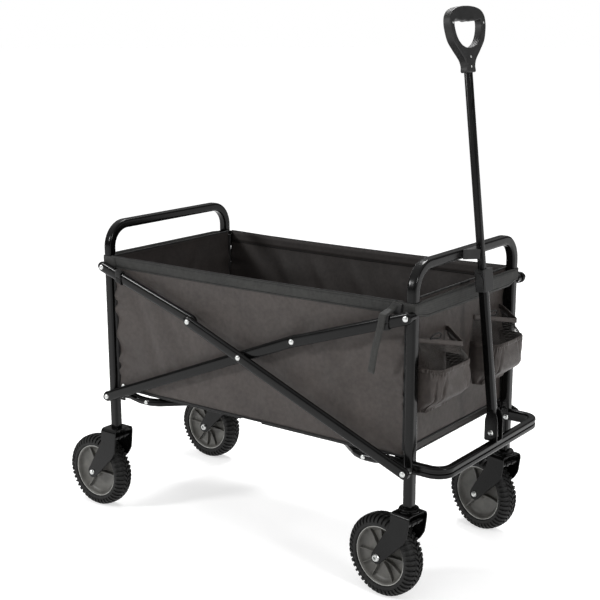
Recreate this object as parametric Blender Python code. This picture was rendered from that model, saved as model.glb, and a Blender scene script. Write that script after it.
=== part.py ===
"""Folding camp wagon: two end frames joined by scissor bars, a fabric tub, four wheels and a pull handle.

Metres, +Z up. +X is the front, where the handle is, and +Y is the wagon's left side. The pieces are placed
in a frame whose X = 0 is half way between the posts; the empty "wagon" moves that frame so that the origin
is under the middle of the whole object.
"""

import math

import bmesh
import bpy
from mathutils import Vector

for old_object in list(bpy.data.objects):
    bpy.data.objects.remove(old_object)

# ---- driving dimensions -------------------------------------------------------------------------------
LENGTH_CENTRE = -0.0308  # X of the middle of the whole object, seen from half way between the posts

POST_X = 0.400  # half the distance between the front and rear posts
POST_Y = 0.2014  # half the distance between the left and right posts
TUBE = 0.020  # side of the square frame tube
TUBE_CORNER = 0.0035
TUBE_WALL = 0.0014
POST_FOOT = 0.2031
BOSS_RADIUS = 0.009  # the bosses that space the links' top pivots off the posts
BOSS_GAP = 0.0005
FRAME_TOP = 0.689
FRAME_BEND = 0.050

PIVOT_X = 0.405  # the scissor bars' pivots on the posts
PIVOT_LOW = 0.2811
PIVOT_TOP = 0.5873
CROSS_Z = 0.4448  # where the two long bars of a side cross
LINK_X = 0.1396  # where a long bar meets its short link

BAR_HEIGHT = 0.024
BAR_THICK = 0.011
BAR_WALL = 0.0013
BAR_SPACER = 0.0035  # between a post and the inner layer of bars
BAR_GAP = 0.0006  # between the two layers of bars
RIVET_RADIUS = 0.004
RIVET_HEAD = 0.0075
RIVET_HEAD_THICK = 0.0025
CLEAR = 0.0003  # between touching pieces

WHEEL_RADIUS = 0.0860
RIM_RADIUS = 0.0625
TYRE_WIDTH = 0.046
HUB_WIDTH = 0.040
CASTER_TRAIL = 0.0575
AXLE_RADIUS = 0.005
FORK_INSIDE = 0.0530
FORK_PLATE = 0.0030
FORK_TOP = 0.2027
RACE_HEIGHT = 0.0085
RIGHT_CASTER_TURN = math.radians(-8.0)
LEFT_CASTER_TURN = math.radians(-14.0)

BUMPER_HEIGHT = 0.024
BUMPER_THICK = 0.016
BUMPER_Z = 0.2850
BUMPER_X = 0.4740  # middle of the bumper's front run
BUMPER_BEND = 0.050

FLOOR_PIVOT_X = 0.370
FLOOR_PIVOT_Z = 0.2885
FLOOR_BAR_Z = 0.2835
FLOOR_BAR_RADIUS = 0.009
FLOOR_BAR_SIDES = 10
FLOOR_BRACKET_Y = 0.2002
HUB_PIN_REACH = 0.026  # half the length of the hub's pin
HUB_HALF_Y = 0.050
FLOOR_BOARD_Z = 0.2945
FLOOR_BOARD_THICK = 0.005

TUB_TOP = 0.612
TUB_BOTTOM = 0.302
TUB_SIDE_Y = 0.2030  # outer face of the side panels
TUB_END_X = 0.3865  # outer face of the end panels
FABRIC = 0.003

YOKE_X = 0.4740
YOKE_Z = 0.3165
HANDLE_LEAN = math.radians(6.6)
LOWER_TUBE = 0.0175
LOWER_TUBE_TOP = 0.300
UPPER_TUBE = 0.0135
SLEEVE_X = 0.00075  # the latch sleeve sits a little off the tubes' axis
SLEEVE_Y = 0.0034
UPPER_TUBE_BOTTOM = 0.240
HANDLE_WALL = 0.0012
GRIP_BOTTOM = 0.7166
GRIP_TOP = 0.8426
GRIP_WIDTH = 0.133
GRIP_THICK = 0.0170

POCKET_OUT = 0.066  # how far a cup pocket stands out from the front panel
POCKET_Y = 0.1150  # middle of a cup pocket
POCKET_HALF_TOP = 0.056
POCKET_HALF_LOW = 0.068
POCKET_TOP = 0.530
POCKET_WIDEST = 0.440
POCKET_BOTTOM = 0.385

SIDES = {"right": -1, "left": 1}


# ---- finishes -----------------------------------------------------------------------------------------
def finish(name, red, green, blue, roughness, metallic):
    made = bpy.data.materials.new(name)
    made.use_nodes = True
    shader = made.node_tree.nodes["Principled BSDF"]
    shader.inputs["Base Color"].default_value = (red, green, blue, 1)
    shader.inputs["Roughness"].default_value = roughness
    shader.inputs["Metallic"].default_value = metallic
    return made


BLACK_PAINT = finish("black_paint", 0.012, 0.013, 0.013, 0.25, 0.0)
ZINC = finish("zinc", 0.62, 0.62, 0.60, 0.30, 1.0)
BLACK_PLASTIC = finish("black_plastic", 0.020, 0.020, 0.020, 0.50, 0.0)
GREY_PLASTIC = finish("grey_plastic", 0.105, 0.103, 0.098, 0.50, 0.0)
TYRE_RUBBER = finish("tyre_rubber", 0.012, 0.012, 0.012, 0.80, 0.0)
TUB_FABRIC = finish("tub_fabric", 0.062, 0.055, 0.052, 0.85, 0.0)


# ---- shape helpers ------------------------------------------------------------------------------------
def add(name, shape, material, parent=None, at=(0, 0, 0), turn=(0, 0, 0), smooth=False):
    """Makes a named object of a bmesh, with its origin where the piece turns."""
    bmesh.ops.recalc_face_normals(shape, faces=shape.faces)
    mesh = bpy.data.meshes.new(name)
    shape.to_mesh(mesh)
    shape.free()
    if smooth:
        mesh.shade_smooth()
        mesh.set_sharp_from_angle(angle=math.radians(35))
    piece = bpy.data.objects.new(name, mesh)
    piece.data.materials.append(material)
    piece.location = at
    piece.rotation_euler = turn
    piece.parent = parent if parent else wagon
    bpy.context.collection.objects.link(piece)
    return piece


def empty(name, at=(0, 0, 0), turn=(0, 0, 0), parent=None):
    made = bpy.data.objects.new(name, None)
    made.location = at
    made.rotation_euler = turn
    made.parent = parent
    bpy.context.collection.objects.link(made)
    return made


def boolean(piece, shape, operation):
    """Cuts a bmesh out of a piece, or joins it on, in the piece's own coordinates."""
    tool = add(f"tool_{piece.name}_{len(piece.modifiers)}", shape, BLACK_PAINT, parent=piece)
    tool.hide_render = True
    tool.display_type = "WIRE"
    modifier = piece.modifiers.new(operation.lower(), "BOOLEAN")
    modifier.operation = operation
    modifier.solver = "EXACT"
    modifier.object = tool


def arc(centre, radius, start, end, steps):
    """Points on an arc in a plane, with the angles in degrees."""
    angles = [math.radians(start + (end - start) * step / steps) for step in range(steps + 1)]
    return [(centre[0] + radius * math.cos(angle), centre[1] + radius * math.sin(angle)) for angle in angles]


def rounded_rectangle(width, height, radius, steps=2):
    across, up = width / 2 - radius, height / 2 - radius
    return (
        arc((across, up), radius, 0, 90, steps)
        + arc((-across, up), radius, 90, 180, steps)
        + arc((-across, -up), radius, 180, 270, steps)
        + arc((across, -up), radius, 270, 360, steps)
    )


def stadium(start, end, radius, steps=8):
    return arc((end, 0), radius, -90, 90, steps) + arc((start, 0), radius, 90, 270, steps)


def prism(outline, low, high):
    """An outline in X and Z, extruded along Y."""
    shape = bmesh.new()
    near = [shape.verts.new((x, low, z)) for x, z in outline]
    far = [shape.verts.new((x, high, z)) for x, z in outline]
    shape.faces.new(near)
    shape.faces.new(reversed(far))
    for index in range(len(outline)):
        after = (index + 1) % len(outline)
        shape.faces.new((near[index], far[index], far[after], near[after]))
    return shape


def slab(outline, low, high):
    """An outline in X and Y, extruded along Z."""
    shape = bmesh.new()
    bottom = [shape.verts.new((x, y, low)) for x, y in outline]
    top = [shape.verts.new((x, y, high)) for x, y in outline]
    shape.faces.new(bottom)
    shape.faces.new(top)
    for index in range(len(outline)):
        after = (index + 1) % len(outline)
        shape.faces.new((bottom[index], bottom[after], top[after], top[index]))
    return shape


def block(low, high):
    outline = [(low[0], low[2]), (high[0], low[2]), (high[0], high[2]), (low[0], high[2])]
    return prism(outline, low[1], high[1])


def lathe(profile, segments, phase=0.0, axis="Y"):
    """Turns (radius, height) points about an axis; a radius of 0 is a pole, without poles the loop closes."""
    shape = bmesh.new()

    def point(radius, height, angle):
        across, up = radius * math.cos(angle), radius * math.sin(angle)
        return (across, height, up) if axis == "Y" else (across, up, height)

    rings = []
    for radius, height in profile:
        if radius == 0:
            rings.append([shape.verts.new(point(0, height, 0))] * segments)
        else:
            angles = [phase + 2 * math.pi * step / segments for step in range(segments)]
            rings.append([shape.verts.new(point(radius, height, angle)) for angle in angles])
    pairs = list(zip(rings, rings[1:]))
    if profile[0][0] != 0:
        pairs.append((rings[-1], rings[0]))
    for first, second in pairs:
        for step in range(segments):
            after = (step + 1) % segments
            corners = [first[step], first[after], second[after], second[step]]
            shape.faces.new(list(dict.fromkeys(corners)))
    return shape


def ring_points(shape, path, across, section):
    """One ring of a section at each point of a flat path; the section's first axis is the path's normal."""
    rings = []
    for index, place in enumerate(path):
        before = (place - path[index - 1]).normalized() if index else None
        after = (path[index + 1] - place).normalized() if index + 1 < len(path) else None
        along = ((before or after) + (after or before)).normalized()
        stretch = 1 / along.dot(after or before)
        sideways = along.cross(across).normalized() * stretch
        rings.append([shape.verts.new(place + across * u + sideways * v) for u, v in section])
    return rings


def sweep(path, across, section, inner=None):
    """A tube along a flat path: solid, or hollow and open at both ends when it has an inner section."""
    shape = bmesh.new()
    path = [Vector(place) for place in path]
    across = Vector(across)
    outside = ring_points(shape, path, across, section)
    inside = ring_points(shape, path, across, inner) if inner else None
    count = len(section)
    for rings in filter(None, (outside, inside)):
        for first, second in zip(rings, rings[1:]):
            for step in range(count):
                after = (step + 1) % count
                shape.faces.new((first[step], first[after], second[after], second[step]))
    for end in (0, -1):
        if inside:
            for step in range(count):
                after = (step + 1) % count
                corners = (outside[end][step], outside[end][after], inside[end][after], inside[end][step])
                shape.faces.new(corners)
        else:
            shape.faces.new(outside[end])
    return shape


def hollow_sweep(path, across, width, height, corner, wall):
    outer = rounded_rectangle(width, height, corner)
    inner = rounded_rectangle(width - 2 * wall, height - 2 * wall, max(corner - wall, 0.0004))
    return sweep(path, across, outer, inner)


def drill(piece, radius, low, high, x=0.0, z=0.0):
    """A round hole along Y."""
    shape = lathe([(0, low), (radius, low), (radius, high), (0, high)], PIN_SEGMENTS, math.radians(11))
    boolean(piece, moved(shape, (x, 0, z)), "DIFFERENCE")


def rivet(inner, outer, collar=None):
    """A headed pin along Y between two faces, with an optional thick collar from one Y to another."""
    head_in = inner - CLEAR - RIVET_HEAD_THICK
    head_out = outer + CLEAR + RIVET_HEAD_THICK
    profile = [(0, head_in), (RIVET_HEAD * 0.75, head_in), (RIVET_HEAD, head_in + RIVET_HEAD_THICK / 2)]
    profile += [(RIVET_HEAD, inner - CLEAR), (RIVET_RADIUS, inner - CLEAR)]
    if collar:
        start, end = collar
        profile += [(RIVET_RADIUS, start), (RIVET_HEAD, start), (RIVET_HEAD, end), (RIVET_RADIUS, end)]
    profile += [(RIVET_RADIUS, outer + CLEAR), (RIVET_HEAD, outer + CLEAR)]
    profile += [(RIVET_HEAD, head_out - RIVET_HEAD_THICK / 2), (RIVET_HEAD * 0.75, head_out), (0, head_out)]
    return lathe(profile, PIN_SEGMENTS)


def mirrored(shape, side):
    """Puts a shape made for the left side on the side asked for."""
    if side < 0:
        bmesh.ops.scale(shape, vec=(1, -1, 1), verts=shape.verts)
    return shape


def moved(shape, vector):
    bmesh.ops.translate(shape, verts=shape.verts, vec=vector)
    return shape


# ---- places worked out from the dimensions ------------------------------------------------------------
POST_FACE = POST_Y + TUBE / 2
LAYER = [POST_FACE + BAR_SPACER + BAR_THICK / 2 + layer * (BAR_THICK + BAR_GAP) for layer in (0, 1)]
LAYER_IN = [middle - BAR_THICK / 2 for middle in LAYER]
LAYER_OUT = [middle + BAR_THICK / 2 for middle in LAYER]
RISE = (CROSS_Z - PIVOT_LOW) / PIVOT_X
BAR_ANGLE = math.atan(RISE)
CROSS_AT = math.hypot(PIVOT_X, CROSS_Z - PIVOT_LOW)
BAR_LENGTH = CROSS_AT * (PIVOT_X + LINK_X) / PIVOT_X
LINK_Z = PIVOT_LOW + RISE * (PIVOT_X + LINK_X)
LINK_LENGTH = math.hypot(PIVOT_X - LINK_X, PIVOT_TOP - LINK_Z)
LINK_ANGLE = math.atan2(PIVOT_TOP - LINK_Z, PIVOT_X - LINK_X)
BAR_END = BAR_HEIGHT / 2
WHEEL_SEGMENTS = 40
HUB_SEGMENTS = 24
PIN_SEGMENTS = 12
AXLE_HEIGHT = WHEEL_RADIUS * math.cos(math.pi / WHEEL_SEGMENTS)

wagon = empty("wagon", at=(-LENGTH_CENTRE, 0, 0))


# ---- end frames ---------------------------------------------------------------------------------------
def end_frame(name, end):
    """An upside-down U of square tube with its floor-bar brackets and the bosses of its top pivots."""
    top = FRAME_TOP - TUBE / 2
    corner_y, corner_z = POST_Y - FRAME_BEND, top - FRAME_BEND
    outline = [(-POST_Y, POST_FOOT)] + arc((-corner_y, corner_z), FRAME_BEND, 180, 90, 6)
    outline += arc((corner_y, corner_z), FRAME_BEND, 90, 0, 6) + [(POST_Y, POST_FOOT)]
    path = [(end * POST_X, y, z) for y, z in outline]
    shape = hollow_sweep(path, (1, 0, 0), TUBE, TUBE, TUBE_CORNER, TUBE_WALL)
    frame = add(name, shape, BLACK_PAINT, smooth=True)
    boss_low = POST_FACE - TUBE_WALL / 2
    boss_high = LAYER_IN[0 if end < 0 else 1] - BOSS_GAP
    for side in SIDES.values():
        boss = [(0, boss_low), (BOSS_RADIUS, boss_low), (BOSS_RADIUS, boss_high), (0, boss_high)]
        shape = moved(mirrored(lathe(boss, PIN_SEGMENTS), side), (end * PIVOT_X, 0, PIVOT_TOP))
        boolean(frame, shape, "UNION")
        boolean(frame, floor_bracket(end, side), "UNION")
        low, high = sorted((side * (POST_Y - TUBE), side * (POST_FACE + 0.002)))
        drill(frame, RIVET_RADIUS + CLEAR, low, high, end * PIVOT_X, PIVOT_LOW)
        drill(frame, RIVET_RADIUS + CLEAR, low, high, end * FLOOR_PIVOT_X, FLOOR_PIVOT_Z)


def floor_bracket(end, side):
    """Two ears and a back plate that hold the outer end of a floor bar, joined to the post's inner face."""
    half, ear, back = 0.0110, 0.0015, 0.0040
    inner_x, outer_x = FLOOR_PIVOT_X - 0.011, POST_X - TUBE / 2 + TUBE_WALL / 2
    ears = [(inner_x, -half), (outer_x, -half), (outer_x, half), (inner_x, half), (inner_x, half - ear)]
    ears += [(outer_x - back, half - ear), (outer_x - back, -half + ear), (inner_x, -half + ear)]
    outline = [(end * x, side * FLOOR_BRACKET_Y + y) for x, y in ears]
    return slab(outline, FLOOR_PIVOT_Z - 0.012, FLOOR_PIVOT_Z + 0.012)


def lower_rivet(name, end, side):
    """The rivet that a long bar turns on, through its post, with a collar that spaces the bar off."""
    layer = 0 if end < 0 else 1
    shape = rivet(POST_Y - TUBE / 2, LAYER_OUT[layer], (POST_FACE + CLEAR, LAYER_IN[layer] - CLEAR))
    add(name, mirrored(shape, side), ZINC, at=(end * PIVOT_X, 0, PIVOT_LOW), smooth=True)


end_frame("rear_frame", -1)
end_frame("front_frame", 1)
for side_name, side in SIDES.items():
    lower_rivet(f"lower_rivet_rear_{side_name}", -1, side)
    lower_rivet(f"lower_rivet_front_{side_name}", 1, side)

cross_half = POST_Y - TUBE / 2 - 2 * CLEAR - 0.003
cross_path = [(-POST_X, -cross_half, BUMPER_Z), (-POST_X, cross_half, BUMPER_Z)]
cross_shape = hollow_sweep(cross_path, (1, 0, 0), TUBE, TUBE, TUBE_CORNER, TUBE_WALL)
add("rear_cross_tube", cross_shape, BLACK_PAINT, smooth=True)


# ---- front bumper -------------------------------------------------------------------------------------
def bumper():
    start = POST_X + TUBE / 2 + CLEAR
    corner_x, corner_y = BUMPER_X - BUMPER_BEND, POST_Y - BUMPER_BEND
    outline = [(start, -POST_Y)] + arc((corner_x, -corner_y), BUMPER_BEND, -90, 0, 6)
    outline += arc((corner_x, corner_y), BUMPER_BEND, 0, 90, 6) + [(start, POST_Y)]
    path = [(x, y, BUMPER_Z) for x, y in outline]
    shape = hollow_sweep(path, (0, 0, 1), BUMPER_HEIGHT, BUMPER_THICK, 0.004, TUBE_WALL)
    add("front_bumper", shape, BLACK_PAINT, smooth=True)


bumper()


# ---- scissor bars and links ---------------------------------------------------------------------------
def flat_bar(name, side, at, turn, length, layer, holes):
    """A flat-oval tube from its pivot to its far end, with its origin on the pivot."""
    place = (at[0], side * LAYER[layer], at[1])
    shape = prism(stadium(0, length, BAR_END), -BAR_THICK / 2, BAR_THICK / 2)
    bar = add(name, shape, BLACK_PAINT, at=place, turn=(0, -turn, 0), smooth=True)
    half_y, half_z = BAR_THICK / 2 - BAR_WALL, BAR_END - BAR_WALL
    slot = block((-0.02, -half_y, -half_z), (length + 0.02, half_y, half_z))
    boolean(bar, slot, "DIFFERENCE")
    for distance in holes:
        drill(bar, RIVET_RADIUS + CLEAR, -BAR_THICK, BAR_THICK, distance)
    return bar


def link(name, side, at, turn, layer):
    """A short link, with the pin that joins it to its long bar and the rivet head at its top pivot."""
    bar = flat_bar(name, side, at, turn, LINK_LENGTH, layer, [])
    middle = LAYER[layer]
    pin = moved(rivet(LAYER_IN[0], LAYER_OUT[1]), (0, -middle, 0))
    boolean(bar, mirrored(pin, side), "UNION")
    face = BAR_THICK / 2 - BAR_WALL / 2
    top = face + BAR_WALL / 2 + RIVET_HEAD_THICK
    profile = [(0, face), (RIVET_HEAD, face), (RIVET_HEAD, top - 0.001), (RIVET_HEAD * 0.75, top), (0, top)]
    head = mirrored(lathe(profile, PIN_SEGMENTS), side)
    boolean(bar, moved(head, (LINK_LENGTH, 0, 0)), "UNION")


bar_holes = [0, CROSS_AT, BAR_LENGTH]
for side_name, side in SIDES.items():
    rear_pivot, front_pivot = (-PIVOT_X, PIVOT_LOW), (PIVOT_X, PIVOT_LOW)
    flat_bar(f"rising_bar_{side_name}", side, rear_pivot, BAR_ANGLE, BAR_LENGTH, 0, bar_holes)
    flat_bar(f"falling_bar_{side_name}", side, front_pivot, math.pi - BAR_ANGLE, BAR_LENGTH, 1, bar_holes)
    link(f"front_link_{side_name}", side, (LINK_X, LINK_Z), LINK_ANGLE, 1)
    link(f"rear_link_{side_name}", side, (-LINK_X, LINK_Z), math.pi - LINK_ANGLE, 0)
    crossing = mirrored(rivet(LAYER_IN[0], LAYER_OUT[1]), side)
    add(f"crossing_rivet_{side_name}", crossing, ZINC, at=(0, 0, CROSS_Z), smooth=True)


# ---- floor --------------------------------------------------------------------------------------------
def floor_bar(name, end, side, inner_y):
    """A round tube from a post's bracket to the hub under the middle of the floor."""
    pivot = Vector((FLOOR_PIVOT_X, FLOOR_BRACKET_Y, FLOOR_PIVOT_Z))
    route = [(0.3765, FLOOR_BRACKET_Y, FLOOR_PIVOT_Z), (0.350, FLOOR_BRACKET_Y, FLOOR_PIVOT_Z)]
    route += [(0.318, FLOOR_BRACKET_Y, FLOOR_BAR_Z), (0.290, FLOOR_BRACKET_Y, FLOOR_BAR_Z)]
    route += [(0.270, FLOOR_BRACKET_Y - 0.008, FLOOR_BAR_Z), (0.090, inner_y + 0.012, FLOOR_BAR_Z)]
    inner_end = 0.004 if inner_y > HUB_PIN_REACH else -0.005
    route += [(0.060, inner_y, FLOOR_BAR_Z), (inner_end, inner_y, FLOOR_BAR_Z)]
    path = [Vector(place) - pivot for place in route]
    shape = bmesh.new()
    rings = []
    for index, place in enumerate(path):
        before = (place - path[index - 1]).normalized() if index else None
        after = (path[index + 1] - place).normalized() if index + 1 < len(path) else None
        along = ((before or after) + (after or before)).normalized()
        level = Vector((-along.y, along.x, 0)).normalized()
        upright = along.cross(level)
        last_angle = 360 - 360 / FLOOR_BAR_SIDES
        section = arc((0, 0), FLOOR_BAR_RADIUS, 0, last_angle, FLOOR_BAR_SIDES - 1)
        inner = arc((0, 0), FLOOR_BAR_RADIUS - BAR_WALL, 0, last_angle, FLOOR_BAR_SIDES - 1)
        for points in (section, inner):
            rings.append([shape.verts.new(place + level * u + upright * v) for u, v in points])
    outside, inside = rings[0::2], rings[1::2]
    for step in range(FLOOR_BAR_SIDES):
        after = (step + 1) % FLOOR_BAR_SIDES
        for tube in (outside, inside):
            for first, second in zip(tube, tube[1:]):
                shape.faces.new((first[step], first[after], second[after], second[step]))
        for end_ring, inner_ring in ((outside[0], inside[0]), (outside[-1], inside[-1])):
            shape.faces.new((end_ring[step], end_ring[after], inner_ring[after], inner_ring[step]))
    bmesh.ops.scale(shape, vec=(end, side, 1), verts=shape.verts)
    bar = add(name, shape, BLACK_PAINT, at=(end * pivot.x, side * pivot.y, pivot.z), smooth=True)
    pin = rivet(-0.0110, 0.0110)
    boolean(bar, pin, "UNION")
    if inner_y < HUB_PIN_REACH:
        hole_y = side * (inner_y - pivot.y)
        low, high = hole_y - 0.015, hole_y + 0.015
        drill(bar, 0.0034, low, high, -end * pivot.x, FLOOR_BAR_Z - FLOOR_PIVOT_Z)


HUB_ARM_Y = {"rear": 0.0145, "front": 0.0405}  # the hub's pin goes through the rear bars' inner arms
for side_name, side in SIDES.items():
    floor_bar(f"floor_bar_rear_{side_name}", -1, side, HUB_ARM_Y["rear"])
    floor_bar(f"floor_bar_front_{side_name}", 1, side, HUB_ARM_Y["front"])


def floor_hub():
    """The plate under the middle of the floor, with a web down to the pin that the rear bars turn on."""
    plate_low = FLOOR_BOARD_Z - FLOOR_BAR_Z
    plate = block((-0.017, -HUB_HALF_Y, plate_low), (0.017, HUB_HALF_Y, plate_low + 0.0045))
    hub = add("floor_hub", plate, BLACK_PLASTIC, at=(0, 0, FLOOR_BAR_Z))
    boolean(hub, block((-0.010, -0.0042, -0.010), (0.010, 0.0042, plate_low + 0.002)), "UNION")
    pin = [(0, -HUB_PIN_REACH), (0.003, -HUB_PIN_REACH), (0.003, HUB_PIN_REACH), (0, HUB_PIN_REACH)]
    boolean(hub, lathe(pin, PIN_SEGMENTS), "UNION")


def floor_board(name, end):
    """Half of the floor, notched in the middle so that it clears the hub and the other bars as it folds."""
    inner, notch, outer = 0.028, 0.064, 0.374
    half, notch_half = 0.1850, HUB_HALF_Y + 0.004
    outline = [(inner, -half), (outer, -half), (outer, half), (inner, half), (inner, notch_half)]
    outline += [(notch, notch_half), (notch, -notch_half), (inner, -notch_half)]
    origin = Vector((end * FLOOR_PIVOT_X, 0, FLOOR_PIVOT_Z))
    low = FLOOR_BOARD_Z - FLOOR_PIVOT_Z
    shape = slab([(end * (x - FLOOR_PIVOT_X), y) for x, y in outline], low, low + FLOOR_BOARD_THICK)
    add(name, shape, TUB_FABRIC, at=origin)


floor_hub()
floor_board("floor_board_rear", -1)
floor_board("floor_board_front", 1)


# ---- fabric tub ---------------------------------------------------------------------------------------
def side_panel(name, side):
    """A side of the tub, which hangs between the posts, above the floor bars."""
    half = TUB_END_X - 0.0005
    shape = block((-half, TUB_SIDE_Y - FABRIC, TUB_BOTTOM), (half, TUB_SIDE_Y, TUB_TOP))
    add(name, mirrored(shape, side), TUB_FABRIC)


def end_panel(name, end):
    half = POST_Y - TUBE / 2 - 0.0040
    low_x, high_x = sorted((end * TUB_END_X, end * (TUB_END_X - FABRIC)))
    low, high = (low_x, -half, TUB_BOTTOM), (high_x, half, TUB_TOP)
    add(name, block(low, high), TUB_FABRIC)


def cup_section(inset, z):
    """One level of a cup pocket: a flat back and a bulging front, closed all round."""
    share = (z - POCKET_WIDEST) / (POCKET_TOP - POCKET_WIDEST)
    half = POCKET_HALF_LOW + (POCKET_HALF_TOP - POCKET_HALF_LOW) * max(0.0, share)
    half -= 0.012 * max(0.0, (POCKET_WIDEST - z) / (POCKET_WIDEST - POCKET_BOTTOM))
    half -= inset
    reach = POCKET_OUT - 0.010 * abs(share) - inset
    back = TUB_END_X + 2 * CLEAR + inset
    front = TUB_END_X + reach
    points = [(back, -half)]
    shoulder = back + 0.35 * reach
    for step in range(13):
        angle = math.radians(-90 + 15 * step)
        x = shoulder + (front - shoulder) * max(0.0, math.cos(angle)) ** 0.7
        points.append((x, half * math.copysign(abs(math.sin(angle)) ** 0.7, math.sin(angle))))
    points.append((back, half))
    return [(x, y, z) for x, y in points]


def cup_pocket(name, side):
    """A drink pocket, open at the top, with a fabric wall and floor."""
    levels = [POCKET_BOTTOM, 0.400, 0.420, POCKET_WIDEST, 0.470, 0.500, POCKET_TOP]
    shape = bmesh.new()
    outer = [[shape.verts.new(place) for place in cup_section(0, z)] for z in levels]
    inner_levels = [POCKET_BOTTOM + FABRIC] + levels[1:]
    inner = [[shape.verts.new(place) for place in cup_section(FABRIC, z)] for z in inner_levels]
    for wall in (outer, inner):
        shape.faces.new(wall[0])
        for first, second in zip(wall, wall[1:]):
            for index in range(len(first)):
                after = (index + 1) % len(first)
                shape.faces.new((first[index], first[after], second[after], second[index]))
    for index in range(len(outer[-1])):
        after = (index + 1) % len(outer[-1])
        shape.faces.new((outer[-1][index], outer[-1][after], inner[-1][after], inner[-1][index]))
    bmesh.ops.translate(shape, verts=shape.verts, vec=(0, POCKET_Y, 0))
    add(name, mirrored(shape, side), TUB_FABRIC, smooth=True)


for side_name, side in SIDES.items():
    side_panel(f"side_panel_{side_name}", side)
    cup_pocket(f"cup_pocket_{side_name}", side)
end_panel("rear_panel", -1)
end_panel("front_panel", 1)


# ---- wheels and casters -------------------------------------------------------------------------------
def wheel(corner, holder):
    """Tyre, hub and axle, with their origin on the axle."""
    at = (-CASTER_TRAIL, 0, AXLE_HEIGHT)
    half, hub_half = TYRE_WIDTH / 2, HUB_WIDTH / 2
    tread = [(WHEEL_RADIUS, 0.012), (WHEEL_RADIUS - 0.007, 0.021), (WHEEL_RADIUS - 0.014, half)]
    tread += [(RIM_RADIUS + CLEAR, half - 0.001)]
    profile = tread + [(radius, -y) for radius, y in reversed(tread)]
    tyre = lathe(profile, WHEEL_SEGMENTS, math.pi / WHEEL_SEGMENTS)
    add(f"tyre_{corner}", tyre, TYRE_RUBBER, holder, at, smooth=True)
    bore = AXLE_RADIUS + 0.0004
    half_hub = [(bore, hub_half + 0.003), (0.014, hub_half + 0.003), (0.017, 0.006), (0.046, 0.004)]
    half_hub += [(0.055, hub_half - 0.003), (RIM_RADIUS, hub_half - 0.003)]
    profile = half_hub + [(radius, -y) for radius, y in reversed(half_hub)]
    hub = lathe(profile, HUB_SEGMENTS)
    add(f"wheel_hub_{corner}", hub, GREY_PLASTIC, holder, at, smooth=True)
    face = FORK_INSIDE / 2 + FORK_PLATE + CLEAR
    pin = [(0, -face - 0.006), (0.006, -face - 0.006), (0.0085, -face - 0.004), (0.0085, -face)]
    pin += [(AXLE_RADIUS, -face), (AXLE_RADIUS, face), (0.0085, face), (0.0085, face + 0.004)]
    pin += [(0.006, face + 0.006), (0, face + 0.006)]
    add(f"axle_{corner}", lathe(pin, PIN_SEGMENTS), ZINC, holder, at, smooth=True)


def fork(corner, holder, top):
    """A folded steel fork: a top plate with a leg down each side of the wheel."""
    axle_z = AXLE_HEIGHT
    outline = [(0.023, top), (-0.023, top), (-0.025, top - 0.012)]
    outline += arc((-CASTER_TRAIL, axle_z), 0.0140, 125, 305, 8)
    outline += [(0.022, top - 0.040), (0.024, top - 0.012)]
    half = FORK_INSIDE / 2 + FORK_PLATE
    piece = add(f"fork_{corner}", prism(outline, -half, half), BLACK_PAINT, holder)
    inside = block((-0.12, -FORK_INSIDE / 2, 0.02), (0.05, FORK_INSIDE / 2, top - 0.004))
    boolean(piece, inside, "DIFFERENCE")
    drill(piece, AXLE_RADIUS + CLEAR, -0.05, 0.05, -CASTER_TRAIL, axle_z)


for side_name, side in SIDES.items():
    rear = empty(f"rear_wheel_place_{side_name}", (-POST_X, side * POST_Y, 0), parent=wagon)
    fork(f"rear_{side_name}", rear, FORK_TOP)
    wheel(f"rear_{side_name}", rear)
    caster_turn = RIGHT_CASTER_TURN if side < 0 else LEFT_CASTER_TURN
    front = empty(f"caster_axis_{side_name}", (POST_X, side * POST_Y, 0), (0, 0, caster_turn), wagon)
    fork(f"front_{side_name}", front, FORK_TOP - RACE_HEIGHT)
    wheel(f"front_{side_name}", front)
    low, high = FORK_TOP - RACE_HEIGHT + CLEAR, FORK_TOP
    race = [(0, low), (0.0215, low), (0.0215, low + 0.003), (0.016, high), (0, high)]
    add(f"caster_race_{side_name}", lathe(race, HUB_SEGMENTS, axis="Z"), BLACK_PAINT, front, smooth=True)


# ---- pull handle --------------------------------------------------------------------------------------
handle = empty("handle_axis", (YOKE_X, 0, YOKE_Z), (0, -HANDLE_LEAN, 0), wagon)


def yoke():
    """A U bracket on the bumper, with the bolt that the handle turns on."""
    base = BUMPER_Z + BUMPER_HEIGHT / 2 + CLEAR
    inside, ear = LOWER_TUBE / 2 + 0.0010, 0.0035
    outline = [(-0.0145, base), (0.0145, base), (0.0145, base + 0.046)]
    outline += arc((0, base + 0.054), 0.011, 0, 180, 8)
    outline += [(-0.0145, base + 0.046)]
    piece = add("handle_yoke", prism(outline, -inside - ear, inside + ear), BLACK_PLASTIC, at=(YOKE_X, 0, 0))
    boolean(piece, block((-0.03, -inside, base + 0.003), (0.03, inside, base + 0.09)), "DIFFERENCE")
    drill(piece, RIVET_RADIUS + CLEAR, -0.03, 0.03, 0, YOKE_Z)
    bolt = rivet(-inside - ear, inside + ear)
    add("yoke_bolt", bolt, ZINC, at=(YOKE_X, 0, YOKE_Z), smooth=True)


def square_tube(name, size, low, high):
    shape = hollow_sweep([(0, 0, low), (0, 0, high)], (1, 0, 0), size, size, 0.0022, HANDLE_WALL)
    return add(name, shape, BLACK_PAINT, handle, smooth=True)


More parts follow.
